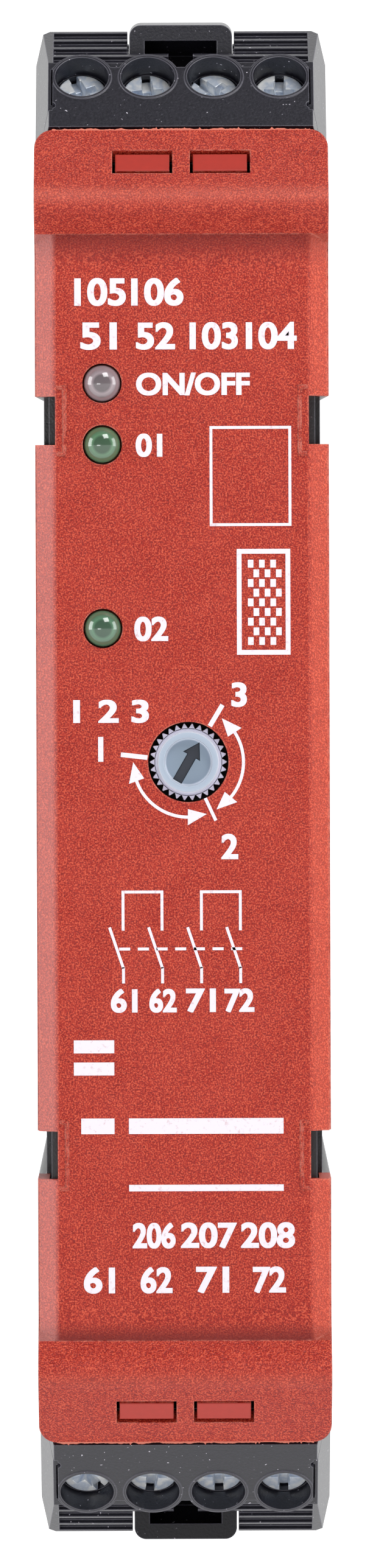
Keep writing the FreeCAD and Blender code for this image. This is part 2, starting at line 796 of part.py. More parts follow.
def lever_tools():
    """Room in a plug body for the lever, its tail and its pins."""
    w = lever_half_width + lever_play
    notch = box(-w, w, lever_low_u - lever_swing_play, plug_height + 1.0, lever_foot_n - lever_under_play, 1.0)
    gap_half = lever_tail_width / 2.0 + lever_under_play
    gap = box(-gap_half, gap_half, cap_valley + cap_seam, lever_low_u, lever_low_n * 2, 1.0)
    swing = (lever_pivot_n - lever_tail_end) * math.sin(math.radians(lever_swing)) + lever_swing_play
    groove = box(-lever_tail_width / 2.0 - lever_play, lever_tail_width / 2.0 + lever_play,
                 lever_tail_u()[0] - swing, plug_height + 1.0, -plug_depth - 1.0, lever_foot_n)
    pins = rod(-w - lever_pin_length, lever_pivot_u, lever_pivot_n, lever_pin_radius + lever_pin_play,
               2 * (w + lever_pin_length), vec(1, 0, 0))
    return [notch, gap, groove, pins]


def terminal_tools(x):
    """Room in a plug body for one clamp, its contact, its screw and its wire."""
    reach = cage_width / 2.0 + cage_play
    u0, u1 = screw_u - cage_length / 2.0 - tongue_plate - cage_play, screw_u + cage_length / 2.0 + cage_play
    room_low = sleeve_top - cage_play
    room = box(x - reach, x + reach, u0, u1, room_low, -cage_top + cage_play)
    shank = rod(x, screw_u, -cage_top - 1.0, screw_shank_radius + cage_play, cage_top, vec(0, 0, 1))
    head = rod(x, screw_u, -screw_sink - screw_head_height - cage_play, well_radius, cage_top, vec(0, 0, 1))
    wire = box(x - wire_width / 2.0, x + wire_width / 2.0, screw_u, plug_height + 1.0,
               wire_n - wire_height / 2.0, wire_n + wire_height / 2.0)
    s = sleeve_outer / 2.0 + sleeve_play
    socket = box(x - s, x + s, screw_u - s, screw_u + s, -plug_depth - 1.0, room_low + 0.1)
    return [room, shank, head, wire, socket]


def wire_funnel_tool(x):
    """Flared mouth of a wire entry."""
    w, h = wire_width / 2.0, wire_height / 2.0

    def mouth(u, extra):
        corners = [vec(x - w - extra, u, wire_n - h - extra), vec(x + w + extra, u, wire_n - h - extra),
                   vec(x + w + extra, u, wire_n + h + extra), vec(x - w - extra, u, wire_n + h + extra)]
        return Part.makePolygon(corners + corners[:1])

    return Part.makeLoft([mouth(plug_height - 3 * wire_funnel, 0.0), mouth(plug_height, wire_funnel * 0.6)], True)


def plug_body():
    block = plug_block(plug_outline())
    tools = [cap_zone(cap_seam)] + rib_tools() + lever_tools()
    for x in pole_x:
        tools += terminal_tools(x) + [wire_funnel_tool(x)]
    body = block
    for tool in tools:
        body = body.cut(tool)
    return body.removeSplitter()


def screws():
    group = []
    for x, turn in zip(pole_x, screw_turns):
        top = -screw_sink
        head = rod(x, screw_u, top - screw_head_height, screw_head_radius, screw_head_height, vec(0, 0, 1))
        shank = rod(x, screw_u, top - screw_head_height - screw_length, screw_shank_radius, screw_length,
                    vec(0, 0, 1))
        slot = box(x - screw_head_radius - 1, x + screw_head_radius + 1, screw_u - screw_slot / 2.0,
                   screw_u + screw_slot / 2.0, top - screw_slot_depth, top + 1.0)
        cross = box(x - screw_slot / 2.0, x + screw_slot / 2.0, screw_u - screw_cross / 2.0,
                    screw_u + screw_cross / 2.0, top - screw_slot_depth, top + 1.0)
        drive = slot.fuse(cross)
        drive.rotate(vec(x, screw_u, 0), vec(0, 0, 1), turn + 90.0)
        group.append(joined([head, shank]).cut(drive))
    return Part.makeCompound(group)


def clamps():
    """Box clamps: a cage round the wire, threaded for the screw."""
    group = []
    low = cage_low
    for x in pole_x:
        w, length = cage_width / 2.0, cage_length / 2.0
        cage = box(x - w, x + w, screw_u - length, screw_u + length, low, -cage_top)
        window = box(x - w + cage_wall, x + w - cage_wall, screw_u - length - 1, screw_u + length + 1,
                     low + cage_wall, low + cage_wall + cage_window)
        thread = rod(x, screw_u, low + cage_wall, screw_shank_radius, cage_height, vec(0, 0, 1))
        group.append(cut_from(cage, [window, thread]))
    return Part.makeCompound(group)


def contacts():
    """Current bar inside each cage, bent round it to the sleeve that takes the pin."""
    group = []
    low = cage_low
    for x in pole_x:
        w = cage_width / 2.0 - cage_wall - cage_play
        u0 = screw_u - cage_length / 2.0 - tongue_plate
        bar = box(x - w, x + w, u0, screw_u + cage_length / 2.0, low + cage_wall, low + cage_wall + tongue_plate)
        bend = box(x - w, x + w, u0, u0 + tongue_plate, sleeve_top, low + cage_wall + tongue_plate)
        base = box(x - w, x + w, u0, screw_u + sleeve_outer / 2.0, sleeve_top, low)
        s = sleeve_outer / 2.0
        sleeve = box(x - s, x + s, screw_u - s, screw_u + s, -plug_depth + sleeve_play, sleeve_top)
        bore = box(x - sleeve_bore / 2.0, x + sleeve_bore / 2.0, screw_u - sleeve_bore / 2.0,
                   screw_u + sleeve_bore / 2.0, -plug_depth - 1.0, sleeve_top - pin_end_gap / 2.0)
        group.append(joined([bar, bend, base, sleeve]).cut(bore))
    return Part.makeCompound(group)


def lever_tail_u():
    """Inner and outer faces of the lever's tail, just inside the wire face."""
    return plug_height - lever_play - lever_tail_thickness, plug_height - lever_play


def release_lever():
    """Loop to pull, legs to the pivot, and a tail that runs down the wire face to a hook."""
    w = lever_half_width
    tail_in, tail_out = lever_tail_u()
    side = [(lever_front_u, lever_front_n), (lever_back_u, lever_back_n), (tail_out + lever_shoulder, lever_web_n),
            (tail_out, lever_foot_n), (lever_pivot_u - lever_heel, lever_foot_n), (lever_low_u, lever_low_n)]
    loop = prism(side, -w, w)
    bar_u = (lever_front_u + lever_back_u) / 2.0
    corners = [edge for edge in loop.Edges if edge.BoundBox.XLength < 1e-6
               and abs(edge.BoundBox.Center.y - bar_u) < 1e-3]
    loop = loop.makeFillet(lever_corner, corners)
    run, fall = lever_back_u - lever_front_u, lever_back_n - lever_front_n
    length = math.hypot(run, fall)
    along, inward = (run / length, fall / length), (fall / length, -run / length)

    def under(s):
        return (lever_front_u + along[0] * s + inward[0] * lever_bar,
                lever_front_n + along[1] * s + inward[1] * lever_bar)

    window = prism([under(-2.0), under(length - lever_back_wall),
                    (tail_out + lever_shoulder - lever_back_wall, lever_web_n),
                    (lever_low_u - 1.5, lever_web_n)], -w + lever_leg, w - lever_leg)
    tail = box(-lever_tail_width / 2.0, lever_tail_width / 2.0, tail_in, tail_out, lever_tail_end,
               lever_foot_n + 0.5)
    hook = box(-lever_tail_width / 2.0, lever_tail_width / 2.0, tail_in, tail_out + lever_hook,
               lever_tail_end, lever_tail_end + lever_hook_height)
    pins = [rod(side_x * w - (0.2 if side_x > 0 else lever_pin_length), lever_pivot_u, lever_pivot_n,
                lever_pin_radius, lever_pin_length + 0.2, vec(1, 0, 0)) for side_x in (-1, 1)]
    return joined([loop.cut(window), tail, hook] + pins)


# ---- pins and headers, also in the plug frame -----------------------------------------------------
def header_block():
    middle = screw_u
    block = box(-header_half_width, header_half_width, middle - header_length / 2.0,
                middle + header_length / 2.0, header_n - header_height, header_n)
    grow = pin_width / 2.0
    slots = [box(x - grow, x + grow, middle - grow, middle + grow, header_n - header_height - 1, header_n + 1)
             for x in pole_x]
    return cut_from(block, slots)


def pin_group(flip):
    """Pins from the plug's sleeves through the header, bent over to the main board."""
    group = []
    grow = pin_width / 2.0
    for i, pole in enumerate(sorted(flip * x for x in pole_x)):
        end = header_n - header_height - tail_step * (i + 1)
        pin = box(pole - grow, pole + grow, screw_u - grow, screw_u + grow, end, sleeve_top - pin_end_gap)
        face = board_top if pole > board_top else board_x
        x0, x1 = sorted((face, pole))
        tail = box(x0, x1 + (grow if pole > face else 0), screw_u - grow, screw_u + grow, end, end + pin_width)
        if pole < face:
            tail = box(pole - grow, face, screw_u - grow, screw_u + grow, end, end + pin_width)
        group.append(joined([pin, tail]))
    return Part.makeCompound(group)


def pin_set(end, level):
    """Lower ends are turned over, so their tails are mirrored to reach the same board."""
    pins = pin_group(1)
    if end == "bottom":
        pins = pins.mirror(vec(0, 0, 0), vec(1, 0, 0))
    return to_plug(pins, end, level)


# ---- boards and parts inside ----------------------------------------------------------------------
def board_face():
    return inset(housing_face(), wall + board_margin)


def main_board():
    plate = prism(board_face(), board_x, board_top)
    clear = box(-half, half, y_at(0.0), y_at(front_board_depth + board_thickness + board_margin), -lip_z, lip_z)
    channel = channel_block()
    span = channel.BoundBox
    behind = box(-half, half, span.YMin - board_margin, 0.0, span.ZMin - board_margin, span.ZMax + board_margin)
    holes = [rod(board_x - 1.0, y, z, boss_radius + board_margin / 2.0, board_thickness + 2.0, vec(1, 0, 0))
             for y, z in boss_places()]
    gap = board_margin / 2.0
    headers = box(-half, half, screw_u - header_length / 2.0 - gap, screw_u + header_length / 2.0 + gap,
                  header_n - header_height - gap, header_n + wall)
    return cut_from(plate, [clear, behind] + holes + everywhere(headers))


def front_board():
    reach = half - shell - front_board_margin
    y = y_at(front_board_depth)
    return box(-reach, reach, y, y + board_thickness, -front_board_half_height, front_board_half_height)


def board_link():
    """Strip connector between the two boards."""
    y0 = y_at(front_board_depth + board_thickness)
    return box(board_top, board_top + link_width, y0, y0 + link_length, -link_height / 2.0, link_height / 2.0)


def relay(z):
    """Sealed relay with forcibly guided contacts: a cover over a wider base."""
    y0 = y_at(relay_start)
    base = box(board_top, board_top + relay_flange_height, y0, y0 + relay_depth,
               z - relay_height / 2.0, z + relay_height / 2.0)
    top = box(board_top, parts_top, y0 + relay_flange, y0 + relay_depth - relay_flange,
              z - relay_height / 2.0 + relay_flange, z + relay_height / 2.0 - relay_flange)
    edges = [edge for edge in top.Edges if abs(edge.BoundBox.Center.x - parts_top) < 1e-6
             or edge.BoundBox.XLength > 1.0]
    return joined([base, top.makeChamfer(relay_flange, edges)])


def transformer():
    y0, z = y_at(transformer_start), transformer_z
    core = box(board_top, parts_top, y0, y0 + transformer_depth, z - transformer_core / 2.0,
               z + transformer_core / 2.0)
    coil = box(board_top + relay_top_gap, parts_top - relay_top_gap, y0 + relay_top_gap,
               y0 + transformer_depth - relay_top_gap, z - transformer_height / 2.0, z + transformer_height / 2.0)
    return joined([core, coil])


def capacitors():
    return Part.makeCompound([rod(board_top, y_at(depth), z, capacitor_radius, capacitor_length, vec(1, 0, 0))
                              for depth, z in capacitor_places])


def chips():
    group = []
    for depth, z in chip_places:
        y, size = y_at(depth), chip_size / 2.0
        body = box(board_top, board_top + chip_height, y - size, y + size, z - size, z + size)
        leads = box(board_top, board_top + chip_height / 4.0, y - size - chip_lead, y + size + chip_lead,
                    z - size + chip_lead, z + size - chip_lead)
        group.append(joined([body, leads]))
    return Part.makeCompound(group)


def surge_absorber():
    y, z = y_at(absorber_depth), boss_z - absorber_from_boss
    disc = rod(board_top + absorber_radius, y - absorber_thickness / 2.0, z, absorber_radius,
               absorber_thickness, vec(0, 1, 0))
    return disc.common(box(board_top, half, y - absorber_radius, y + absorber_radius,
                           z - absorber_radius, z + absorber_radius))


def fuse():
    y, z = y_at(fuse_depth), fuse_from_boss - boss_z
    radius = fuse_radius + fuse_cap_extra
    x = board_top + radius
    tube = rod(x, y - fuse_length / 2.0, z, fuse_radius, fuse_length, vec(0, 1, 0))
    caps = [rod(x, y0, z, radius, fuse_cap_length, vec(0, 1, 0))
            for y0 in (y - fuse_length / 2.0, y + fuse_length / 2.0 - fuse_cap_length)]
    return joined([tube] + caps)


# ---- every node, one STEP file each ---------------------------------------------------------------
def build_nodes():
    nodes = {
        "housing_tub": housing_tub(),
        "housing_side_cover": housing_side_cover(),
        "front_cover": front_cover(),
        "rail_foot": rail_foot(),
        "foot_spring": foot_spring(),
        "selector_knob": selector_knob(),
        "selector_switch": selector_switch(),
        "lamp_supply": led(led_z[0]),
        "lamp_run": led(led_z[1]),
        "lamp_output": led(led_z[2]),
        "front_board": front_board(),
        "main_board": main_board(),
        "board_link": board_link(),
        "relay_upper": relay(relay_z),
        "relay_lower": relay(-relay_z),
        "transformer": transformer(),
        "capacitors": capacitors(),
        "logic_chips": chips(),
        "surge_absorber": surge_absorber(),
        "fuse": fuse(),
    }
    plug_parts = {
        "plug_body": plug_body(),
        "screw_face": plug_cap(),
        "release_lever": release_lever(),
        "clamps": clamps(),
        "screws": screws(),
        "contacts": contacts(),
        "header": header_block(),
    }
    for end in ENDS:
        for level in LEVELS:
            for name, shape in plug_parts.items():
                nodes[f"{end}_{level}_{name}"] = to_plug(shape, end, level)
            nodes[f"{end}_{level}_pins"] = pin_set(end, level)
    return nodes


os.makedirs("parts", exist_ok=True)
for node_name, node_shape in build_nodes().items():
    node_shape.exportStep(f"parts/{node_name}.step")
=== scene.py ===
import json
import math
import random

import bmesh
import bpy
from mathutils import Matrix, Vector


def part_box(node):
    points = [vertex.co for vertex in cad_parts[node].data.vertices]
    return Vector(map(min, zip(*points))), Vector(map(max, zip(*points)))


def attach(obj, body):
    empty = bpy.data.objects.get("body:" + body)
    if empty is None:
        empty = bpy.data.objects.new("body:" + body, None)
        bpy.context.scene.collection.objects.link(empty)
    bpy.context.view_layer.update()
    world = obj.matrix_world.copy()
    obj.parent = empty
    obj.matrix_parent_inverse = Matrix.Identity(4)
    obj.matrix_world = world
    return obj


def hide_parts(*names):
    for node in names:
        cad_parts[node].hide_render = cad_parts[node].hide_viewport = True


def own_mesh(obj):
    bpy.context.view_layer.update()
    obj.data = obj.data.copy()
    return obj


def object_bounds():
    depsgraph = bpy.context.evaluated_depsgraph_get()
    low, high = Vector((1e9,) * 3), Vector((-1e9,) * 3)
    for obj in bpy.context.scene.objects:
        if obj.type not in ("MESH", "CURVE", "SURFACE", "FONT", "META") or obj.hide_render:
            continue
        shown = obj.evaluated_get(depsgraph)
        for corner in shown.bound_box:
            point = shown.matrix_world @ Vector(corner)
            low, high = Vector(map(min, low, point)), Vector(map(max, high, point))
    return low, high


# Looks of a slim safety relay: red front cover, black housing, four black plugs with screw terminals.
# Metres. X across the width, Y from the front (-Y) to the wall, Z up.

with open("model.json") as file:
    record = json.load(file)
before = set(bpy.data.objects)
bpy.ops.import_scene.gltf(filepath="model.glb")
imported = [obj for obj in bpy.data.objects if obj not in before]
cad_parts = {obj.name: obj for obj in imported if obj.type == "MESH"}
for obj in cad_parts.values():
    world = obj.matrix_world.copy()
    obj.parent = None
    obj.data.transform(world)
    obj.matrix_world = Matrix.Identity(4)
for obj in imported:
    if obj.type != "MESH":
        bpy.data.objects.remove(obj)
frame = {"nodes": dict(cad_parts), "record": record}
NODES = frame["nodes"]
cad_low, cad_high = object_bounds()

MM = 0.001
ENDS = ("top", "bottom")
LEVELS = ("front", "rear")
PLUGS = [f"{end}_{level}" for end in ENDS for level in LEVELS]
SLOTS = {entry["node"]: entry["material_slot"] for entry in frame["record"]["subparts"]}
BODY_OF = {node: body for body, nodes in frame["record"]["behaviour"]["bodies"].items() for node in nodes}

cover_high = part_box("front_cover")[1]
HALF = cover_high.x
LABEL_Y = cad_low.y + 1.6 * MM        # flat label field, behind the crests
SLOPE = math.radians(42.0)            # plug faces, from the front plane
FOOT_Z = cover_high.z - 8.05 * MM     # where the ramps of the crests meet the label field
CREST_RISE = 2.95 * MM                # from there to the middle of a crest
CREST_REACH = 1.1 * MM                # half width of the painted highlight along a crest
BEVEL_START = HALF - 1.75 * MM        # bevelled side of the label field
BEVEL_END = HALF - 1.15 * MM


# ---- nodes ----------------------------------------------------------------------------------------
def new_node(tree, kind, **settings):
    node = tree.nodes.new(kind)
    for key, value in settings.items():
        setattr(node, key, value)
    return node


def feed(tree, socket, value):
    """Feeds a socket from another one, or sets it to a plain value."""
    if isinstance(value, bpy.types.NodeSocket):
        tree.links.new(value, socket)
    else:
        socket.default_value = value


def calc(tree, operation, *values):
    """Result of an operation on one or two numbers."""
    node = new_node(tree, "ShaderNodeMath", operation=operation)
    for socket, value in zip(node.inputs, values):
        feed(tree, socket, value)
    return node.outputs[0]


def spread(tree, source, given, wanted, soft=False):
    """Source carried over from one range to another and held at its ends."""
    node = new_node(tree, "ShaderNodeMapRange", interpolation_type="SMOOTHSTEP" if soft else "LINEAR")
    feed(tree, node.inputs["Value"], source)
    for name, value in zip(("From Min", "From Max", "To Min", "To Max"), (*given, *wanted)):
        node.inputs[name].default_value = value
    return node.outputs["Result"]


# ---- finishes -------------------------------------------------------------------------------------
NOTHING, ALL = (0.0, 0.0, 0.0, 1.0), (1.0, 1.0, 1.0, 1.0)
BEVEL_SAMPLES = 6
EDGE_TURN = (0.9, 0.99)               # cosines between which a rounded normal counts as an edge


def srgb(r, g, b):
    """Linear colour of an 8-bit one."""
    out = []
    for v in (r, g, b):
        v /= 255.0
        out.append(v / 12.92 if v <= 0.04045 else ((v + 0.055) / 1.055) ** 2.4)
    return (*out, 1.0)


def shade(colour, factor):
    """The same colour, darker or lighter."""
    return (*(min(1.0, c * factor) for c in colour[:3]), 1.0)


class Finish:
    """A material with a principled surface, on object coordinates."""

    def __init__(self, name, colour, roughness, metallic=0.0, specular=0.5):
        self.material = bpy.data.materials.new(name)
        self.material.use_nodes = True
        self.tree = self.material.node_tree
        self.surface = self.tree.nodes["Principled BSDF"]
        for socket, value in (("Base Color", colour), ("Roughness", roughness), ("Metallic", metallic),
                              ("Specular IOR Level", specular)):
            self.surface.inputs[socket].default_value = value
        self.coords = self.add("ShaderNodeTexCoord").outputs["Object"]
        self.normal = None

    def add(self, kind, **settings):
        return new_node(self.tree, kind, **settings)

    def join(self, source, target):
        self.tree.links.new(source, target)

    def calc(self, operation, *values):
        return calc(self.tree, operation, *values)

    def spread(self, source, given, wanted, soft=False):
        return spread(self.tree, source, given, wanted, soft)

    def vector(self, operation, *values):
        node = self.add("ShaderNodeVectorMath", operation=operation)
        for socket, value in zip(node.inputs, values):
            feed(self.tree, socket, value)
        return node.outputs

    def noise(self, scale, detail=2.0, roughness=0.5, distortion=0.0):
        node = self.add("ShaderNodeTexNoise")
        self.join(self.coords, node.inputs["Vector"])
        for name, value in (("Scale", scale), ("Detail", detail), ("Roughness", roughness),
                            ("Distortion", distortion)):
            node.inputs[name].default_value = value
        return node.outputs["Fac"]

    def ramp(self, source, *stops):
        """Colour ramp through (position, colour) stops."""
        node = self.add("ShaderNodeValToRGB")
        self.join(source, node.inputs["Fac"])
        band = node.color_ramp
        while len(band.elements) < len(stops):
            band.elements.new(1.0)
        for element, (position, colour) in zip(band.elements, stops):
            element.position = position
            element.color = colour
        return node.outputs["Color"]

    def mix(self, share, first, second):
        node = self.add("ShaderNodeMix", data_type="RGBA")
        for socket, value in ((node.inputs[0], share), (node.inputs[6], first), (node.inputs[7], second)):
            feed(self.tree, socket, value)
        return node.outputs[2]

    def set_colour(self, source):
        self.join(source, self.surface.inputs["Base Color"])

    def set_roughness(self, source, low, high):
        self.join(self.spread(source, (0.0, 1.0), (low, high)), self.surface.inputs["Roughness"])

    def rounded(self, radius):
        """Normal of a surface whose edges are rounded."""
        node = self.add("ShaderNodeBevel", samples=BEVEL_SAMPLES)
        node.inputs["Radius"].default_value = radius
        return node.outputs["Normal"]

    def round_edges(self, radius):
        """Light catches the edges as if they had this radius."""
        self.normal = self.rounded(radius)
        self.join(self.normal, self.surface.inputs["Normal"])

    def edges(self, radius):
        """Share of 1 on edges and 0 on flats."""
        face = self.add("ShaderNodeNewGeometry").outputs["True Normal"]
        turn = self.vector("DOT_PRODUCT", self.rounded(radius), face)["Value"]
        return self.spread(turn, EDGE_TURN, (1.0, 0.0))

    def reach(self, centre, radius):
        """Distance from an axis along Y through the centre, as a share of the radius."""
        away = self.vector("SUBTRACT", self.coords, centre)[0]
        flat = self.vector("MULTIPLY", away, (1.0 / radius, 0.0, 1.0 / radius))[0]
        return self.vector("LENGTH", flat)["Value"]

    def along(self, axis, side=1):
        """Place along an axis, counted from the middle towards one side (1 or -1)."""
        split = self.add("ShaderNodeSeparateXYZ")
        self.join(self.coords, split.inputs[0])
        return self.calc("MULTIPLY", split.outputs[axis], float(side))

    def bevel_sheen(self, side, share):
        """Share of painted sheen and light on the bevelled side of the label field, on the left (-1) or right (1)."""
        band = self.spread(self.along("X", side), (BEVEL_START, BEVEL_END), (0.0, share), soft=True)
        inside = self.calc("LESS_THAN", self.calc("ABSOLUTE", self.along("Z")), FOOT_Z)
        return self.calc("MULTIPLY", band, inside)

    def foot_shade(self, side, length, share):
        """Share of painted shade that grows towards the line where the upper (1) or lower (-1) crest meets the label
        field, where the crest shades it.
        """
        height = self.along("Z", side)
        band = self.spread(height, (FOOT_Z - length, FOOT_Z), (0.0, share), soft=True)
        return self.calc("MULTIPLY", band, self.calc("LESS_THAN", height, FOOT_Z))

    def crest_highlight(self, side, share):
        """Share of painted highlight along the rounded top of the upper (1) or lower (-1) crest."""
        away = self.calc("SUBTRACT", self.along("Z", side), FOOT_Z + CREST_RISE)
        return self.spread(self.calc("ABSOLUTE", away), (0.0, CREST_REACH), (share, 0.0), soft=True)

    def bump(self, height, depth, strength=1.0):
        node = self.add("ShaderNodeBump")
        node.inputs["Strength"].default_value = strength
        node.inputs["Distance"].default_value = depth
        self.join(height, node.inputs["Height"])
        if self.normal:
            self.join(self.normal, node.inputs["Normal"])
        self.normal = node.outputs["Normal"]
        self.join(self.normal, self.surface.inputs["Normal"])


def eroded_red():
    """Red moulding: fine spark-eroded grain, pale ragged edges, painted highlights along the crests, painted shade at
    the feet of the label field and painted sheen on its bevelled sides.
    """
    f = Finish("cover_red", srgb(182, 56, 42), 0.46, specular=0.38)
    edge = f.edges(0.22 * MM)
    f.round_edges(0.16 * MM)
    grain = f.noise(8200.0, 1.0, 0.5, 0.3)
    fine = f.ramp(grain, (0.34, srgb(130, 16, 9)), (0.5, srgb(173, 36, 19)), (0.66, srgb(219, 91, 62)))
    patches = f.ramp(f.noise(420.0), (0.35, srgb(156, 38, 28)), (0.65, srgb(200, 82, 68)))
    tone = f.mix(0.12, fine, patches)
    # painted shade on the label field next to the crests
    for side, length, share in ((1, 3.0 * MM, 0.7), (-1, 1.7 * MM, 0.9)):
        tone = f.mix(f.foot_shade(side, length, share), tone, srgb(120, 26, 20))
    # painted highlight along the rounded tops of the crests
    for side, share in ((1, 0.2), (-1, 0.08)):
        tone = f.mix(f.crest_highlight(side, share), tone, srgb(236, 140, 122))
    # painted sheen and light on the bevelled sides of the label field: whitish on the left, warmer on the right
    for side, share, tint in ((-1, 0.36, srgb(222, 158, 152)), (1, 0.24, srgb(240, 112, 84))):
        tone = f.mix(f.bevel_sheen(side, share), tone, tint)
    chipped = f.ramp(f.noise(1500.0, 3.0, 0.7), (0.4, NOTHING), (0.62, ALL))
    worn = f.calc("MULTIPLY", f.calc("MULTIPLY", edge, chipped), 0.8)
    f.set_colour(f.mix(worn, tone, srgb(236, 140, 120)))
    f.set_roughness(grain, 0.36, 0.56)
    f.bump(grain, 0.09 * MM)
    return f.material


def moulded_black(name, colour, dust, specular=0.6):
    """Black moulding with fine grain, thin pale edges and a little dust."""
    f = Finish(name, colour, 0.32, specular=specular)
    edge = f.edges(0.13 * MM)
    f.round_edges(0.12 * MM)
    grain = f.noise(5200.0, 2.0, 0.6)
    specks = f.ramp(f.noise(5200.0, 0.0), (0.815, NOTHING), (0.845, ALL))
    base = f.ramp(grain, (0.3, shade(colour, 0.7)), (0.7, shade(colour, 1.3)))
    worn = f.mix(f.calc("MULTIPLY", edge, 0.5), base, srgb(132, 130, 144))
    f.set_colour(f.mix(specks, worn, dust))
    f.set_roughness(grain, 0.24, 0.38)
    f.bump(grain, 0.03 * MM, 0.7)
    return f.material


def metal(name, colour, roughness, tint=None, metallic=1.0):
    """Cloudy metal, or one with tinted clouds."""
    f = Finish(name, colour, roughness, metallic=metallic)
    f.round_edges(0.08 * MM)
    cloud = f.noise(900.0, 3.0)
    if tint:
        f.set_colour(f.ramp(cloud, (0.35, colour), (0.5, tint), (0.62, colour)))
    else:
        f.set_colour(f.ramp(cloud, (0.3, shade(colour, 0.85)), (0.7, colour)))
    f.set_roughness(cloud, roughness * 0.7, roughness * 1.3)
    return f.material


def plain_moulding(name, colour, roughness=0.45):
    f = Finish(name, colour, roughness)
    f.round_edges(0.1 * MM)
    grain = f.noise(2200.0)
    f.set_colour(f.ramp(grain, (0.3, shade(colour, 0.92)), (0.7, colour)))
    f.bump(grain, 0.01 * MM, 0.4)
    return f.material


def printing_ink():
    f = Finish("printing_ink", srgb(240, 234, 243), 0.6)
    worn = f.noise(3000.0, 3.0, 0.7)
    f.set_colour(f.ramp(worn, (0.25, srgb(222, 190, 196)), (0.42, srgb(240, 234, 243))))
    f.bump(worn, 0.01 * MM)
    return f.material


LAMP_RADIUS = 1.45 * MM


def lamp_plastic(name, node, colour):
    """Moulded lens whose die shows through as a darker disc."""
    f = Finish(name, colour, 0.16)
    low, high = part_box(node)
    away = f.reach((low + high) / 2.0, LAMP_RADIUS)
    dark, pale = shade(colour, 0.62), shade(colour, 1.5)
    f.set_colour(f.ramp(away, (0.0, dark), (0.42, dark), (0.55, pale), (0.75, colour), (1.0, pale)))
    f.surface.inputs["Coat Weight"].default_value = 1.0
    f.surface.inputs["Coat Roughness"].default_value = 0.04
    return f.material


def knob_plastic():
    """Pale grey moulding in rings: mauve rim, pale ring with painted highlights along its two edges, darker face."""
    f = Finish("knob_grey", srgb(180, 190, 206), 0.42)
    f.round_edges(0.06 * MM)
    low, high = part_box("selector_knob")
    # the light lines at 0.60 and 0.79 of the radius are painted highlights on the edges of the raised ring
    tones = ((0.0, srgb(128, 144, 160)), (0.56, srgb(140, 155, 172)), (0.60, srgb(214, 220, 232)),
             (0.65, srgb(168, 181, 198)), (0.76, srgb(176, 188, 204)), (0.79, srgb(220, 224, 236)),
             (0.84, srgb(196, 195, 216)))
    f.set_colour(f.ramp(f.reach((low + high) / 2.0, (high.x - low.x) / 2.0), *tones))
    return f.material


MATERIALS = {
    "cover_red": eroded_red(),
    "plug_black": moulded_black("plug_black", srgb(30, 29, 38), srgb(190, 186, 196)),
    # darker copy of plug_black for the lower levers: painted shade
    "lever_black": moulded_black("lever_black", srgb(19, 18, 23), srgb(170, 166, 176), 0.3),
    "housing_black": moulded_black("housing_black", srgb(24, 23, 27), srgb(110, 108, 114)),
    "knob_grey": knob_plastic(),
    # dark plate in the knob's arrow: painted shade
    "arrow_dark": plain_moulding("arrow_dark", srgb(46, 51, 62)),
    "smooth_red": plain_moulding("smooth_red", srgb(178, 44, 30), 0.42),
    "pale_red": plain_moulding("pale_red", srgb(226, 126, 104), 0.5),
    "lamp_clear": lamp_plastic("lamp_clear", "lamp_supply", srgb(132, 120, 124)),
    "lamp_green": lamp_plastic("lamp_green", "lamp_run", srgb(76, 110, 82)),
    "board_green": plain_moulding("board_green", srgb(30, 88, 52)),
    "part_black": plain_moulding("part_black", srgb(28, 28, 30)),
    "relay_case": plain_moulding("relay_case", srgb(205, 203, 196)),
    "transformer_case": plain_moulding("transformer_case", srgb(208, 178, 60)),
    "capacitor_can": metal("capacitor_can", srgb(60, 70, 95), 0.35),
    "absorber_blue": plain_moulding("absorber_blue", srgb(36, 78, 150)),
    "fuse_glass": plain_moulding("fuse_glass", srgb(196, 206, 204), 0.12),
    "zinc_steel": metal("zinc_steel", srgb(196, 198, 204), 0.3),
    "screw_zinc": metal("screw_zinc", srgb(250, 252, 253), 0.22, srgb(206, 218, 236), 0.32),
    "tinned_bronze": metal("tinned_bronze", srgb(196, 186, 168), 0.3),
    "spring_steel": metal("spring_steel", srgb(150, 152, 158), 0.3),
}
INK = printing_ink()


def dress_cad():
    """Every CAD node gets the finish of its material slot, but for the lower lamp, and for the lower levers, which
    get a darker copy of the black moulding as painted shade.
    """
    own = {"lamp_output": lamp_plastic("lamp_green_low", "lamp_output", srgb(74, 108, 84))}
    # the lower levers get the darker copy: painted shade
    for level in LEVELS:
        own[f"bottom_{level}_release_lever"] = MATERIALS["lever_black"]
    for name, node in NODES.items():
        node.data.materials.clear()
        node.data.materials.append(own.get(name) or MATERIALS[SLOTS[name]])


dress_cad()


# ---- meshes ---------------------------------------------------------------------------------------
def piece(name, bm, material, body):
    """Finished piece from its mesh, which rides on a body."""
    made = stored(name, bm)
    made.data.materials.append(material)
    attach(made, body)
    return made


def stored(name, bm):
    """Object in the scene from a mesh in the making."""
    mesh = bpy.data.meshes.new(name)
    bm.to_mesh(mesh)
    bm.free()
    made = bpy.data.objects.new(name, mesh)
    bpy.context.scene.collection.objects.link(made)
    return made


def plain_mesh(made):
    """Mesh of an object with its modifiers applied, and the object gone."""
    bpy.context.view_layer.update()
    mesh = bpy.data.meshes.new_from_object(made.evaluated_get(bpy.context.evaluated_depsgraph_get()))
    bpy.data.objects.remove(made)
    return mesh


def join_layers(bm, first, last):
    """Solid between two outlines with the same number of corners."""
    bm.faces.new(first)
    bm.faces.new(last[::-1])
    for i in range(len(first)):
        j = (i + 1) % len(first)
        bm.faces.new((first[j], first[i], last[i], last[j]))


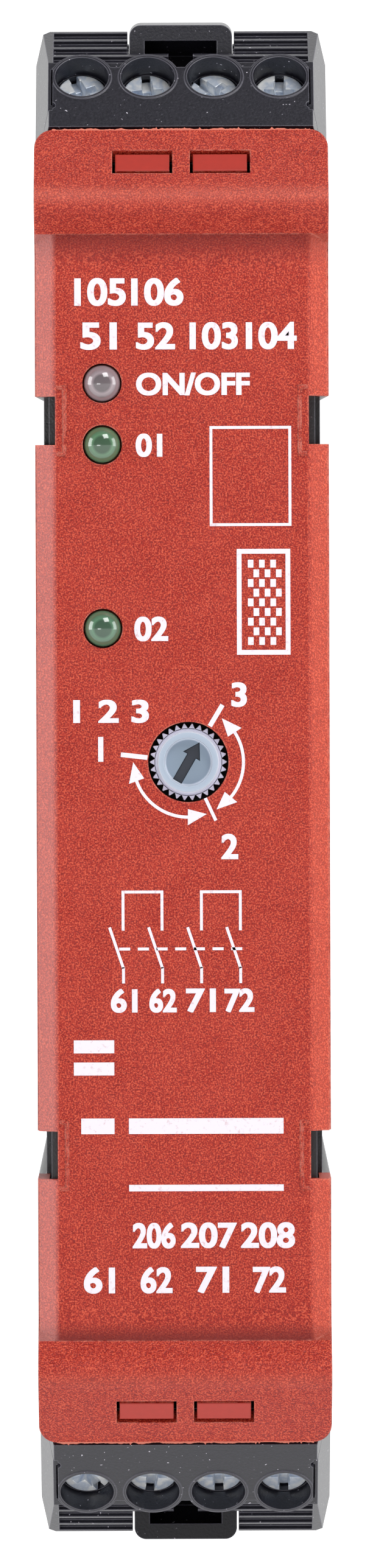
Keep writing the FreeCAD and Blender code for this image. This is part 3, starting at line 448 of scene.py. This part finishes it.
def slope_frame(y, z, end):
    """Frame (x, u up the slope, n out of it) at a point of the upper or lower end."""
    made = Matrix(((1, 0, 0, 0), (0, math.sin(SLOPE), -math.cos(SLOPE), y),
                   (0, math.cos(SLOPE), math.sin(SLOPE), z), (0, 0, 0, 1)))
    return Matrix.Rotation(math.pi, 4, "Y") @ made if end == "bottom" else made


ROUND_STEPS = 96


def lathe(profile):
    """Round shape about Z from (radius, height) points in mm, the first and last on the axis."""
    bm = bmesh.new()
    first = bm.verts.new((0.0, 0.0, profile[0][1] * MM))
    last = bm.verts.new((0.0, 0.0, profile[-1][1] * MM))
    turns = [2 * math.pi * i / ROUND_STEPS for i in range(ROUND_STEPS)]
    rings = [[bm.verts.new((radius * MM * math.cos(turn), radius * MM * math.sin(turn), height * MM))
              for turn in turns] for radius, height in profile[1:-1]]
    for i in range(ROUND_STEPS):
        j = (i + 1) % ROUND_STEPS
        bm.faces.new((first, rings[0][i], rings[0][j]))
        for a, b in zip(rings, rings[1:]):
            bm.faces.new((a[i], b[i], b[j], a[j]))
        bm.faces.new((last, rings[-1][j], rings[-1][i]))
    bmesh.ops.recalc_face_normals(bm, faces=bm.faces)
    return bm


def block(low, high, taper=1.0):
    """Block between two corners in mm, whose lower face may be smaller."""
    bm = bmesh.new()
    mid_x, mid_y = (low[0] + high[0]) / 2.0, (low[1] + high[1]) / 2.0
    corners = ((low[0], low[1]), (high[0], low[1]), (high[0], high[1]), (low[0], high[1]))
    under, over = [[bm.verts.new(((mid_x + (x - mid_x) * share) * MM, (mid_y + (y - mid_y) * share) * MM, z * MM))
                    for x, y in corners] for z, share in ((low[2], taper), (high[2], 1.0))]
    bm.faces.new(under[::-1])
    bm.faces.new(over)
    for i in range(4):
        j = (i + 1) % 4
        bm.faces.new((under[i], under[j], over[j], over[i]))
    return bm


def prism(outline, low, high):
    """Upright prism on an outline in X and Y, in mm."""
    bm = bmesh.new()
    join_layers(bm, *[[bm.verts.new((x * MM, y * MM, z * MM)) for x, y in outline] for z in (low, high)])
    bmesh.ops.recalc_face_normals(bm, faces=bm.faces)
    return bm


def carved(bm, cutters, bevel):
    """Plain mesh of a shape less its cutters, with a fine bevel on its edges."""
    blank = stored("blank", bm)
    tools = [stored("cutter", cutter) for cutter in cutters]
    for tool in tools:
        cut = blank.modifiers.new("cut", "BOOLEAN")
        cut.operation, cut.solver, cut.object = "DIFFERENCE", "EXACT", tool
    edge = blank.modifiers.new("edge", "BEVEL")
    edge.width, edge.segments, edge.limit_method, edge.angle_limit = bevel, 2, "ANGLE", math.radians(35.0)
    mesh = plain_mesh(blank)
    for tool in tools:
        bpy.data.objects.remove(tool)
    return mesh


# ---- what repeats ---------------------------------------------------------------------------------
ROW_TURNS = 4


def new_group(name, inputs, result):
    """Node tree with named inputs and one resulting shape, and its inputs' sockets."""
    tree = bpy.data.node_groups.new(name, "GeometryNodeTree")
    for label, kind in inputs:
        tree.interface.new_socket(label, in_out="INPUT", socket_type=f"NodeSocket{kind}")
    tree.interface.new_socket(result, in_out="OUTPUT", socket_type="NodeSocketGeometry")
    return tree, new_node(tree, "NodeGroupInput").outputs


def put_copies(tree, given, line, turn, result):
    """Puts a turned copy of the piece on each point of the line, as real meshes in their finish."""
    place = new_node(tree, "GeometryNodeInstanceOnPoints")
    real = new_node(tree, "GeometryNodeRealizeInstances")
    finish = new_node(tree, "GeometryNodeSetMaterial")
    end = new_node(tree, "NodeGroupOutput")
    for source, target in ((line.outputs["Mesh"], place.inputs["Points"]), (given["Piece"], place.inputs["Instance"]),
                           (turn.outputs[0], place.inputs["Rotation"]), (place.outputs["Instances"], real.inputs[0]),
                           (real.outputs[0], finish.inputs["Geometry"]), (given["Finish"], finish.inputs["Material"]),
                           (finish.outputs[0], end.inputs[result])):
        tree.links.new(source, target)
    return tree


def row_tree():
    """Repeats a piece along a straight row, each one turned by its own angle about Z."""
    turns = [f"Turn {i + 1}" for i in range(ROW_TURNS)]
    tree, given = new_group("turned_row", [("Piece", "Geometry"), ("Count", "Int"), ("Step", "Vector"),
                                           *[(name, "Float") for name in turns], ("Finish", "Material")], "Row")
    line = new_node(tree, "GeometryNodeMeshLine")
    feed(tree, line.inputs["Count"], given["Count"])
    feed(tree, line.inputs["Offset"], given["Step"])
    pick = new_node(tree, "GeometryNodeIndexSwitch", data_type="FLOAT")
    while len(pick.index_switch_items) < ROW_TURNS:
        pick.index_switch_items.new()
    feed(tree, pick.inputs["Index"], new_node(tree, "GeometryNodeInputIndex").outputs[0])
    for i, name in enumerate(turns):
        feed(tree, pick.inputs[i + 1], given[name])
    turn = new_node(tree, "ShaderNodeCombineXYZ")
    feed(tree, turn.inputs["Z"], pick.outputs[0])
    return put_copies(tree, given, line, turn, "Row")


def ring_tree():
    """Repeats a piece round the Y axis, each one turned to face outwards."""
    tree, given = new_group("ring", [("Piece", "Geometry"), ("Count", "Int"), ("Finish", "Material")], "Ring")
    points = new_node(tree, "GeometryNodeMeshLine")
    feed(tree, points.inputs["Count"], given["Count"])
    points.inputs["Offset"].default_value = (0.0, 0.0, 0.0)
    index = new_node(tree, "GeometryNodeInputIndex").outputs[0]
    turn = new_node(tree, "ShaderNodeCombineXYZ")
    share = calc(tree, "DIVIDE", index, given["Count"])
    feed(tree, turn.inputs["Y"], calc(tree, "MULTIPLY", share, 2.0 * math.pi))
    return put_copies(tree, given, points, turn, "Ring")


ROW = row_tree()
RING = ring_tree()


def repeated(bm, tree, **values):
    """Plain mesh of a piece repeated by a tree, whose inputs are given by name."""
    holder = stored("holder", bm)
    modifier = holder.modifiers.new("repeat", "NODES")
    modifier.node_group = tree
    for item in tree.interface.items_tree:
        key = item.name.replace(" ", "_").lower()
        if item.in_out == "INPUT" and key in values:
            modifier[item.identifier] = values[key]
    return plain_mesh(holder)


# ---- printing on the label, in mm -----------------------------------------------------------------
INK_THICK = 0.02 * MM
TEXT_WEIGHT = 0.09
knob_low, knob_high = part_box("selector_knob")
DIAL_X = (knob_low.x + knob_high.x) / 2.0 / MM
DIAL_Z = (knob_low.z + knob_high.z) / 2.0 / MM
ARC_RADIUS, ARC_LINE, ARC_STEPS = 4.22, 0.24, 20
HEAD_ANGLE, HEAD_HALF = 20.0, 0.62    # length of an arrow head in degrees of its arc, and half its width

# figures beside the terminals, lamps and dial: text, left, right, low, high
LEGEND = (
    ("105", -8.2, -4.25, 36.9, 39.05), ("106", -3.85, 0.15, 36.9, 39.05),
    ("51", -7.75, -4.95, 33.55, 35.65), ("52", -3.5, -0.5, 33.55, 35.65),
    ("103", 0.6, 4.3, 33.55, 35.65), ("104", 4.9, 8.8, 33.55, 35.65),
    ("ON/OFF", -3.5, 5.2, 30.05, 31.8),
    ("01", -3.55, -1.5, 25.35, 27.15),
    ("02", -3.7, -1.1, 11.25, 13.15),
    ("1 2 3", -8.4, -2.6, 5.0, 6.8),
    ("1", -6.5, -6.1, 2.05, 3.95),
    ("3", 3.7, 4.9, 6.2, 8.1),
    ("2", 2.9, 4.2, -5.45, -3.5),
    ("61", -5.6, -3.55, -17.2, -15.35), ("62", -2.65, -0.55, -17.2, -15.35),
    ("71", 0.15, 2.45, -17.2, -15.35), ("72", 3.1, 5.4, -17.2, -15.35),
    ("206", -4.0, -0.7, -35.3, -33.3), ("207", -0.3, 4.0, -35.3, -33.3), ("208", 4.3, 8.45, -35.3, -33.3),
    ("61", -7.75, -5.35, -38.75, -36.7), ("62", -3.4, -0.95, -38.75, -36.7),
    ("71", 0.85, 3.4, -38.75, -36.7), ("72", 5.2, 7.75, -38.75, -36.7),
)
# bars: left, right, low, high
BARS = ((-8.45, -5.35, -20.3, -19.3), (-8.45, -5.35, -22.0, -21.0), (-7.9, -5.35, -26.5, -25.3),
        (-4.25, 7.6, -26.5, -25.3), (-4.25, 7.6, -30.9, -30.4))
# frames: left, right, low, high, line
FRAMES = ((2.1, 8.35, 20.05, 27.7, 0.22), (4.15, 8.25, 10.2, 18.3, 0.37))
# ticks of the dial: degrees from straight up, inner end, outer end, line
TICKS = ((31.0, 3.2, 5.1, 0.36), (155.0, 3.05, 4.95, 0.25), (276.5, 3.15, 5.2, 0.36))
ARCS = ((37.5, 149.5), (160.7, 270.0))
# bridges over two contacts of the circuit drawing
CIRCUIT_LINE = 0.22
BRIDGE_LEFTS, BRIDGE_WIDTH, BRIDGE_LOW, BRIDGE_HIGH = (-4.75, 1.25), 3.2, -10.9, -7.83
# squares of the plain checker
SQUARE_WIDTH, SQUARE_HEIGHT, SQUARE_ROWS, SQUARE_ROW_STEP = 0.43, 0.6, 9, 0.74
SQUARE_LEFT, SQUARE_LOW = 5.0, 10.95


def add_plate(bm, points):
    """Thin printed patch on the label field from its outline in X and Z."""
    join_layers(bm, *[[bm.verts.new((x * MM, y, z * MM)) for x, z in points]
                      for y in (LABEL_Y - INK_THICK, LABEL_Y + INK_THICK)])


def add_bar(bm, x0, x1, z0, z1):
    add_plate(bm, [(x0, z0), (x1, z0), (x1, z1), (x0, z1)])


def add_frame(bm, x0, x1, z0, z1, line):
    add_bar(bm, x0, x1, z1 - line, z1)
    add_bar(bm, x0, x1, z0, z0 + line)
    add_bar(bm, x0, x0 + line, z0 + line, z1 - line)
    add_bar(bm, x1 - line, x1, z0 + line, z1 - line)


def add_stroke(bm, a, b, line):
    (x0, z0), (x1, z1) = a, b
    length = math.hypot(x1 - x0, z1 - z0)
    nx, nz = -(z1 - z0) / length * line / 2.0, (x1 - x0) / length * line / 2.0
    add_plate(bm, [(x0 + nx, z0 + nz), (x0 - nx, z0 - nz), (x1 - nx, z1 - nz), (x1 + nx, z1 + nz)])


def add_text(bm, words, x0, x1, z0, z1):
    """Figures fitted into a field of the label."""
    curve = bpy.data.curves.new("figures", "FONT")
    curve.body = words
    curve.extrude = 0.5
    curve.offset = 0.02
    holder = bpy.data.objects.new("figures", curve)
    bpy.context.scene.collection.objects.link(holder)
    mesh = plain_mesh(holder)
    xs = [v.co.x for v in mesh.vertices]
    ys = [v.co.y for v in mesh.vertices]
    rise = TEXT_WEIGHT * 0.5
    scale_x = (x1 - x0 - TEXT_WEIGHT) / (max(xs) - min(xs))
    scale_z = (z1 - z0 - rise) / (max(ys) - min(ys))
    placed = [(x0 + (v.co.x - min(xs)) * scale_x, v.co.z, z0 + (v.co.y - min(ys)) * scale_z)
              for v in mesh.vertices]
    # struck four times, a hair apart, for the weight of the strokes
    for i, (dx, dz) in enumerate(((0.0, 0.0), (TEXT_WEIGHT, 0.0), (0.0, rise), (TEXT_WEIGHT, rise))):
        for v, (x, t, z) in zip(mesh.vertices, placed):
            v.co = ((x + dx) * MM, LABEL_Y - (t * 2.0 + i * 0.05) * INK_THICK, (z + dz) * MM)
        bm.from_mesh(mesh)
    bpy.data.meshes.remove(mesh)


def dial_point(radius, degrees):
    """Point round the selector, clockwise from straight up."""
    a = math.radians(degrees)
    return (DIAL_X + radius * math.sin(a), DIAL_Z + radius * math.cos(a))


def add_arc(bm, start, end):
    """Arc with an arrow head at both ends."""
    outer, inner = ARC_RADIUS + ARC_LINE / 2.0, ARC_RADIUS - ARC_LINE / 2.0
    a0, a1 = start + HEAD_ANGLE, end - HEAD_ANGLE
    rim = [dial_point(outer, a0 + (a1 - a0) * i / ARC_STEPS) for i in range(ARC_STEPS + 1)]
    rim += [dial_point(inner, a1 + (a0 - a1) * i / ARC_STEPS) for i in range(ARC_STEPS + 1)]
    for i in range(ARC_STEPS):
        add_plate(bm, [rim[i], rim[i + 1], rim[-2 - i], rim[-1 - i]])
    for tip, foot in ((start, a0), (end, a1)):
        add_plate(bm, [dial_point(ARC_RADIUS, tip), dial_point(ARC_RADIUS + HEAD_HALF, foot),
                       dial_point(ARC_RADIUS - HEAD_HALF, foot)])


def add_bridge(bm, left):
    right = left + BRIDGE_WIDTH
    under = BRIDGE_HIGH - CIRCUIT_LINE
    add_bar(bm, left, right, under, BRIDGE_HIGH)
    add_bar(bm, left, left + CIRCUIT_LINE, BRIDGE_LOW, under)
    add_bar(bm, right - CIRCUIT_LINE, right, BRIDGE_LOW, under)


def contact_blade():
    """First contact of the circuit drawing, with its lead."""
    bm = bmesh.new()
    add_stroke(bm, (-5.68, -10.65), (-4.62, -13.8), CIRCUIT_LINE)
    add_stroke(bm, (-4.62, -13.7), (-4.62, -14.95), CIRCUIT_LINE)
    return bm


def link_dash():
    """First dash of the line that links the contacts."""
    bm = bmesh.new()
    add_bar(bm, -4.95, -4.1, -12.42, -12.2)
    return bm


def code_square(row):
    """First square in a row of the plain checker in the framed field."""
    bm = bmesh.new()
    x, z = SQUARE_LEFT + SQUARE_WIDTH * (row % 2), SQUARE_LOW + SQUARE_ROW_STEP * row
    add_bar(bm, x, x + SQUARE_WIDTH, z, z + SQUARE_HEIGHT)
    return bm


def printed_legend():
    bm = bmesh.new()
    for item in LEGEND:
        add_text(bm, *item)
    for item in BARS:
        add_bar(bm, *item)
    for item in FRAMES:
        add_frame(bm, *item)
    for degrees, near, far, line in TICKS:
        add_stroke(bm, dial_point(near, degrees), dial_point(far, degrees), line)
    for item in ARCS:
        add_arc(bm, *item)
    for left in BRIDGE_LEFTS:
        add_bridge(bm, left)
    rows = [(contact_blade(), 4, 2.99), (link_dash(), 7, 1.43)]
    rows += [(code_square(i), 3, 2.0 * SQUARE_WIDTH) for i in range(SQUARE_ROWS)]
    for first, count, step in rows:
        bm.from_mesh(repeated(first, ROW, count=count, step=(step * MM, 0.0, 0.0), finish=INK))
    bmesh.ops.recalc_face_normals(bm, faces=bm.faces)
    piece("printed_legend", bm, INK, "housing")


printed_legend()


# ---- terminal screws ------------------------------------------------------------------------------
# how far each drive is turned from along the slope, in degrees, along the plug
DRIVE_TURNS = {"top_front": (24, 6, 44, 0), "top_rear": (70, -12, 33, 90),
               "bottom_front": (0, 2, -8, 36), "bottom_rear": (15, 85, 50, -20)}
HEAD_CHAMFER, HEAD_THICK = 0.12, 1.6
SHANK_RADIUS, SCREW_LENGTH = 1.2, 7.2
SLOT_HALF, SLOT_DEPTH, CROSS_DEPTH = 0.36, 0.85, 1.1


def screw_blank(radius):
    """One screw with its head's top at height 0: slot across it, cross in its middle."""
    head = lathe([(0.0, 0.0), (radius - HEAD_CHAMFER, 0.0), (radius, -HEAD_CHAMFER), (radius, -HEAD_THICK),
                  (SHANK_RADIUS, -HEAD_THICK), (SHANK_RADIUS, -SCREW_LENGTH), (0.0, -SCREW_LENGTH)])
    slot = block((-SLOT_HALF, -radius - 1.0, -SLOT_DEPTH), (SLOT_HALF, radius + 1.0, 0.5), 0.92)
    wings = [block((-x, -y, -CROSS_DEPTH), (x, y, 0.05), 0.55) for x, y in ((1.25, 0.3), (0.46, 1.3))]
    return carved(head, [slot, *wings], 0.05 * MM)


def terminal_screws(plug):
    """Four screws in a row in their wells, each one left at its own angle."""
    frame_in = slope_frame(0.0, 0.0, plug.split("_")[0])
    points = [frame_in.inverted() @ v.co for v in NODES[f"{plug}_screws"].data.vertices]
    top = max(p.z for p in points)
    heads = [p for p in points if p.z > top - 0.1 * MM]
    low_u, high_u = min(p.y for p in heads), max(p.y for p in heads)
    low_x, high_x = min(p.x for p in heads), max(p.x for p in heads)
    radius = (high_u - low_u) / 2.0
    bm = bmesh.new()
    bm.from_mesh(screw_blank(radius / MM))
    turns = {f"turn_{i + 1}": math.radians(turn) for i, turn in enumerate(DRIVE_TURNS[plug])}
    row = repeated(bm, ROW, count=4, step=((high_x - low_x - 2.0 * radius) / 3.0, 0.0, 0.0),
                   finish=MATERIALS["screw_zinc"], **turns)
    row.transform(frame_in @ Matrix.Translation((low_x + radius, (low_u + high_u) / 2.0, top)))
    bm = bmesh.new()
    bm.from_mesh(row)
    made = piece(f"{plug}_zinc_screws", bm, MATERIALS["screw_zinc"], BODY_OF[f"{plug}_screws"])
    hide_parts(f"{plug}_screws")


for plug in PLUGS:
    terminal_screws(plug)


# ---- selector -------------------------------------------------------------------------------------
KNOB_TEETH = 30
KNOB_TURN = math.radians(30.0)        # pointer at rest, clockwise from straight up
RING_RADIUS, RECESS_RADIUS, RECESS_DEPTH, TOOTH_DEPTH = 2.32, 1.8, 0.6, 0.36
RING_EDGE, RECESS_DRAFT = 0.05, 0.06
RIM_FRONT, RIM_BACK = 0.3, 2.8        # toothed rim, behind the ring's face
STEM_RADIUS, STEM_END = 1.2, 6.4
TIP_HALF = 0.04
ARROW = ((-0.38, -1.72), (-0.38, 0.5), (-0.74, 0.5), (0.0, 1.72), (0.74, 0.5), (0.38, 0.5), (0.38, -1.72))


def knob_tooth(outer):
    """One pointed tooth of the rim at the top of the ring."""
    root = outer - TOOTH_DEPTH - 0.05
    half_base = math.pi * root / KNOB_TEETH * 0.97
    outline = ((-half_base, root), (-TIP_HALF, outer - 0.01), (TIP_HALF, outer - 0.01), (half_base, root))
    bm = bmesh.new()
    join_layers(bm, *[[bm.verts.new((x * MM, depth * MM, z * MM)) for x, z in outline]
                      for depth in (RIM_FRONT, RIM_BACK)])
    bmesh.ops.recalc_face_normals(bm, faces=bm.faces)
    return bm


def selector():
    """Knob with a raised ring, a sunk face and an arrow through it, and a toothed rim, with a dark plate deep in the
    arrow as painted shade.
    """
    outer = (knob_high.x - knob_low.x) / 2.0 / MM
    root = outer - TOOTH_DEPTH
    shape = lathe([(0.0, -RECESS_DEPTH), (RECESS_RADIUS, -RECESS_DEPTH), (RECESS_RADIUS + RECESS_DRAFT, 0.0),
                   (RING_RADIUS - RING_EDGE, 0.0), (RING_RADIUS, -RING_EDGE), (RING_RADIUS, -RIM_FRONT),
                   (root, -RIM_FRONT), (root, -RIM_BACK), (STEM_RADIUS, -RIM_BACK), (STEM_RADIUS, -STEM_END),
                   (0.0, -STEM_END)])
    face = carved(shape, [prism(ARROW, -1.3, 0.5)], 0.03 * MM)
    # the shape is built looking down on it, and the knob looks along -Y
    stand = Matrix.Rotation(math.radians(90.0), 4, "X")
    place = Matrix.Translation((DIAL_X * MM, knob_low.y, DIAL_Z * MM)) @ Matrix.Rotation(KNOB_TURN, 4, "Y")
    face.transform(place @ stand)
    rim = repeated(knob_tooth(outer), RING, count=KNOB_TEETH, finish=MATERIALS["knob_grey"])
    rim.transform(place)
    bm = bmesh.new()
    bm.from_mesh(face)
    bm.from_mesh(rim)
    made = piece("selector_face", bm, MATERIALS["knob_grey"], BODY_OF["selector_knob"])
    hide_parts("selector_knob")
    # dark plate deep in the arrow's slot: painted shade
    arrow_shade_plate = prism([(x * 0.98, y * 0.98) for x, y in ARROW], -1.2, -RECESS_DEPTH - 0.18)
    arrow_shade_plate.transform(place @ stand)
    piece("selector_arrow", arrow_shade_plate, MATERIALS["arrow_dark"], BODY_OF["selector_knob"])


selector()


# ---- pads in the cover's windows and the moulded edge of its lips ---------------------------------
PAD_X, PAD_FROM_LIP = 2.97, 3.4
PAD_LENGTH, PAD_WIDTH, PAD_SINK, PAD_UNDER, PAD_EASE = 1.76, 4.15, 0.12, 0.6, 0.01
LIP_SEEDS = {"top": 7, "bottom": 12}
LIP_STEPS, LIP_FROM_SIDE = 220, 1.35
LIP_HEIGHT, LIP_LEAST, CHIP_HEIGHT, CHIP_CHANCE = 0.08, 0.02, 0.12, 0.035
LIP_ROOT, LIP_FRONT, LIP_BACK = -0.12, -0.02, 0.1


def lip_front():
    """Y of the front edge of the cover's upper lip."""
    return min(v.co.y for v in NODES["front_cover"].data.vertices if v.co.z > cover_high.z - 0.02 * MM)


def snap_pads():
    """Smooth faces of the snap tongues."""
    bm = bmesh.new()
    w, length = PAD_WIDTH / 2.0 - PAD_EASE, PAD_LENGTH / 2.0 - PAD_EASE
    for end in ENDS:
        frame_in = slope_frame(lip_front(), cover_high.z, end)
        for x in (-PAD_X, PAD_X):
            blank = block((x - w, -PAD_FROM_LIP - length, -PAD_UNDER),
                          (x + w, -PAD_FROM_LIP + length, 0.04 - PAD_SINK))
            pad = carved(blank, [], 0.06 * MM)
            pad.transform(frame_in)
            bm.from_mesh(pad)
            bpy.data.meshes.remove(pad)
    piece("snap_pads", bm, MATERIALS["smooth_red"], "housing")


def lip_edge(end):
    """Thin ragged edge left by the mould along a lip."""
    chance = random.Random(LIP_SEEDS[end])
    heights, wave = [], 0.0
    for _ in range(LIP_STEPS + 1):
        wave = 0.82 * wave + chance.uniform(-0.035, 0.035)
        chip = CHIP_HEIGHT if chance.random() < CHIP_CHANCE else 0.0
        heights.append(max(LIP_LEAST, LIP_HEIGHT + wave + chip))
    bm = bmesh.new()
    reach = HALF / MM - LIP_FROM_SIDE
    rows = []
    for i, height in enumerate(heights):
        x = -reach + 2.0 * reach * i / LIP_STEPS
        outline = ((LIP_FRONT, LIP_ROOT), (LIP_FRONT, height), (LIP_BACK, height * 0.6), (LIP_BACK, LIP_ROOT))
        rows.append([bm.verts.new((x * MM, y * MM, z * MM)) for y, z in outline])
    for a, b in zip(rows, rows[1:]):
        for i in range(4):
            j = (i + 1) % 4
            bm.faces.new((a[i], a[j], b[j], b[i]))
    bm.faces.new(rows[0][::-1])
    bm.faces.new(rows[-1])
    bmesh.ops.recalc_face_normals(bm, faces=bm.faces)
    place = Matrix.Translation((0.0, lip_front(), cover_high.z))
    bm.transform(Matrix.Rotation(math.pi, 4, "Y") @ place if end == "bottom" else place)
    piece(f"{end}_lip_edge", bm, MATERIALS["pale_red"], "housing")


snap_pads()
for end in ENDS:
    lip_edge(end)


# ---- spring of the rail foot ----------------------------------------------------------------------
SPRING_FOLDS, SPRING_WIRE = 4, 0.5 * MM


def folded_spring():
    """Zigzag strip under the foot's wings."""
    low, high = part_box("foot_spring")
    length = high.z - low.z
    rise = (length - SPRING_WIRE) / SPRING_FOLDS
    bm = bmesh.new()
    for i in range(SPRING_FOLDS):
        z = low.z + i * rise
        start, end = (low.x, high.x) if i % 2 else (high.x, low.x)
        outline = ((start, z), (start, z + SPRING_WIRE), (end, z + rise + SPRING_WIRE), (end, z + rise))
        join_layers(bm, *[[bm.verts.new((x, y, height)) for x, height in outline] for y in (low.y, high.y)])
    bmesh.ops.recalc_face_normals(bm, faces=bm.faces)
    made = piece("folded_spring", bm, MATERIALS["spring_steel"], BODY_OF["foot_spring"])
    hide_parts("foot_spring")
    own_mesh(made)


folded_spring()


# ---- room, light and camera -----------------------------------------------------------------------
GROUND_REACH = 4.0
GROUND_GLOW, GROUND_LIFT, GROUND_SEEN = 1.3, 0.75, 0.93
SKY = ((0.0, 0.34), (0.85, 0.16))     # brightness from the horizon up to overhead
BACK_GLOW = 1.25
CENTRE = (0.0, -0.1, 0.0)
# soft boxes: name, place, width, height, power
LIGHTS = (("upper_box", (0.26, -0.55, 0.72), 0.42, 0.42, 4.6),
          ("left_box", (-0.8, -0.2, 0.05), 0.4, 0.9, 5.6),
          ("right_box", (0.8, -0.22, 0.1), 0.4, 0.8, 4.2),
          ("low_box", (-0.3, -0.85, -0.02), 0.3, 0.06, 0.5))
CAMERA_DISTANCE, CAMERA_LENS = 0.8, 240.4
CAMERA_RAISED, CAMERA_TURN = math.radians(1.7), math.radians(-0.2)


def white_ground():
    """Pale ground that shows white, also in glossy parts, and keeps a faint shadow."""
    f = Finish("white_ground", (0.86, 0.87, 0.88, 1.0), 0.9)
    glow = f.add("ShaderNodeEmission")
    glow.inputs["Strength"].default_value = GROUND_GLOW
    path = f.add("ShaderNodeLightPath").outputs
    seen = f.calc("MAXIMUM", path["Is Camera Ray"], path["Is Glossy Ray"])
    blend = f.add("ShaderNodeMixShader")
    f.join(f.calc("MAXIMUM", f.calc("MULTIPLY", seen, GROUND_SEEN), GROUND_LIFT), blend.inputs["Fac"])
    f.join(f.surface.outputs[0], blend.inputs[1])
    f.join(glow.outputs[0], blend.inputs[2])
    f.join(blend.outputs[0], f.tree.nodes["Material Output"].inputs["Surface"])
    return f.material


def ground():
    bm = bmesh.new()
    low, reach = cad_low.z - 0.2 * MM, GROUND_REACH
    bm.faces.new([bm.verts.new((x, y, low)) for x, y in ((-reach, -reach), (reach, -reach), (reach, reach),
                                                         (-reach, reach))])
    made = stored("ground", bm)
    made.data.materials.append(white_ground())


def soft_box(name, place, width, height, power):
    """Rectangular light that looks at the object."""
    lamp = bpy.data.lights.new(name, "AREA")
    lamp.shape = "RECTANGLE"
    lamp.size, lamp.size_y = width, height
    lamp.energy = power
    made = bpy.data.objects.new(name, lamp)
    bpy.context.scene.collection.objects.link(made)
    made.location = place
    made.rotation_euler = (Vector(CENTRE) - Vector(place)).to_track_quat("-Z", "Y").to_euler()


def light_room():
    """World that is dim overhead, brighter at the horizon and white behind, and the soft boxes."""
    world = bpy.data.worlds.new("studio")
    bpy.context.scene.world = world
    world.use_nodes = True
    tree = world.node_tree
    way = new_node(tree, "ShaderNodeSeparateXYZ")
    feed(tree, way.inputs[0], new_node(tree, "ShaderNodeTexCoord").outputs["Generated"])
    sky = new_node(tree, "ShaderNodeValToRGB")
    feed(tree, sky.inputs["Fac"], way.outputs["Z"])
    for element, (position, level) in zip(sky.color_ramp.elements, SKY):
        element.position = position
        element.color = (level * 0.98, level * 0.98, level, 1.0)
    soft = tree.nodes["Background"]
    soft.inputs["Strength"].default_value = 1.0
    feed(tree, soft.inputs["Color"], sky.outputs["Color"])
    seen = new_node(tree, "ShaderNodeBackground")
    seen.inputs["Color"].default_value = ALL
    seen.inputs["Strength"].default_value = BACK_GLOW
    # white behind the object, also in its glossy sides
    path = new_node(tree, "ShaderNodeLightPath").outputs
    behind = spread(tree, way.outputs["Y"], (0.1, 0.5), (0.0, 1.0))
    glossy = calc(tree, "MULTIPLY", path["Is Glossy Ray"], behind)
    blend = new_node(tree, "ShaderNodeMixShader")
    feed(tree, blend.inputs["Fac"], calc(tree, "MAXIMUM", path["Is Camera Ray"], glossy))
    feed(tree, blend.inputs[1], soft.outputs[0])
    feed(tree, blend.inputs[2], seen.outputs[0])
    feed(tree, tree.nodes["World Output"].inputs["Surface"], blend.outputs[0])
    for item in LIGHTS:
        soft_box(*item)


def set_camera():
    target = Vector((0.1 * MM, cad_low.y, 0.37 * MM))
    lens = bpy.data.cameras.new("view")
    lens.lens = CAMERA_LENS
    lens.clip_start, lens.clip_end = 0.05, 20.0
    made = bpy.data.objects.new("view", lens)
    bpy.context.scene.collection.objects.link(made)
    place = target + CAMERA_DISTANCE * Vector((0.0, -math.cos(CAMERA_RAISED), math.sin(CAMERA_RAISED)))
    facing = (target - place).to_track_quat("-Z", "Y").to_matrix().to_4x4()
    made.matrix_world = Matrix.Translation(place) @ facing @ Matrix.Rotation(CAMERA_TURN, 4, "Z")
    bpy.context.scene.camera = made


ground()
light_room()
set_camera()
bpy.context.scene.view_settings.view_transform = "Standard"
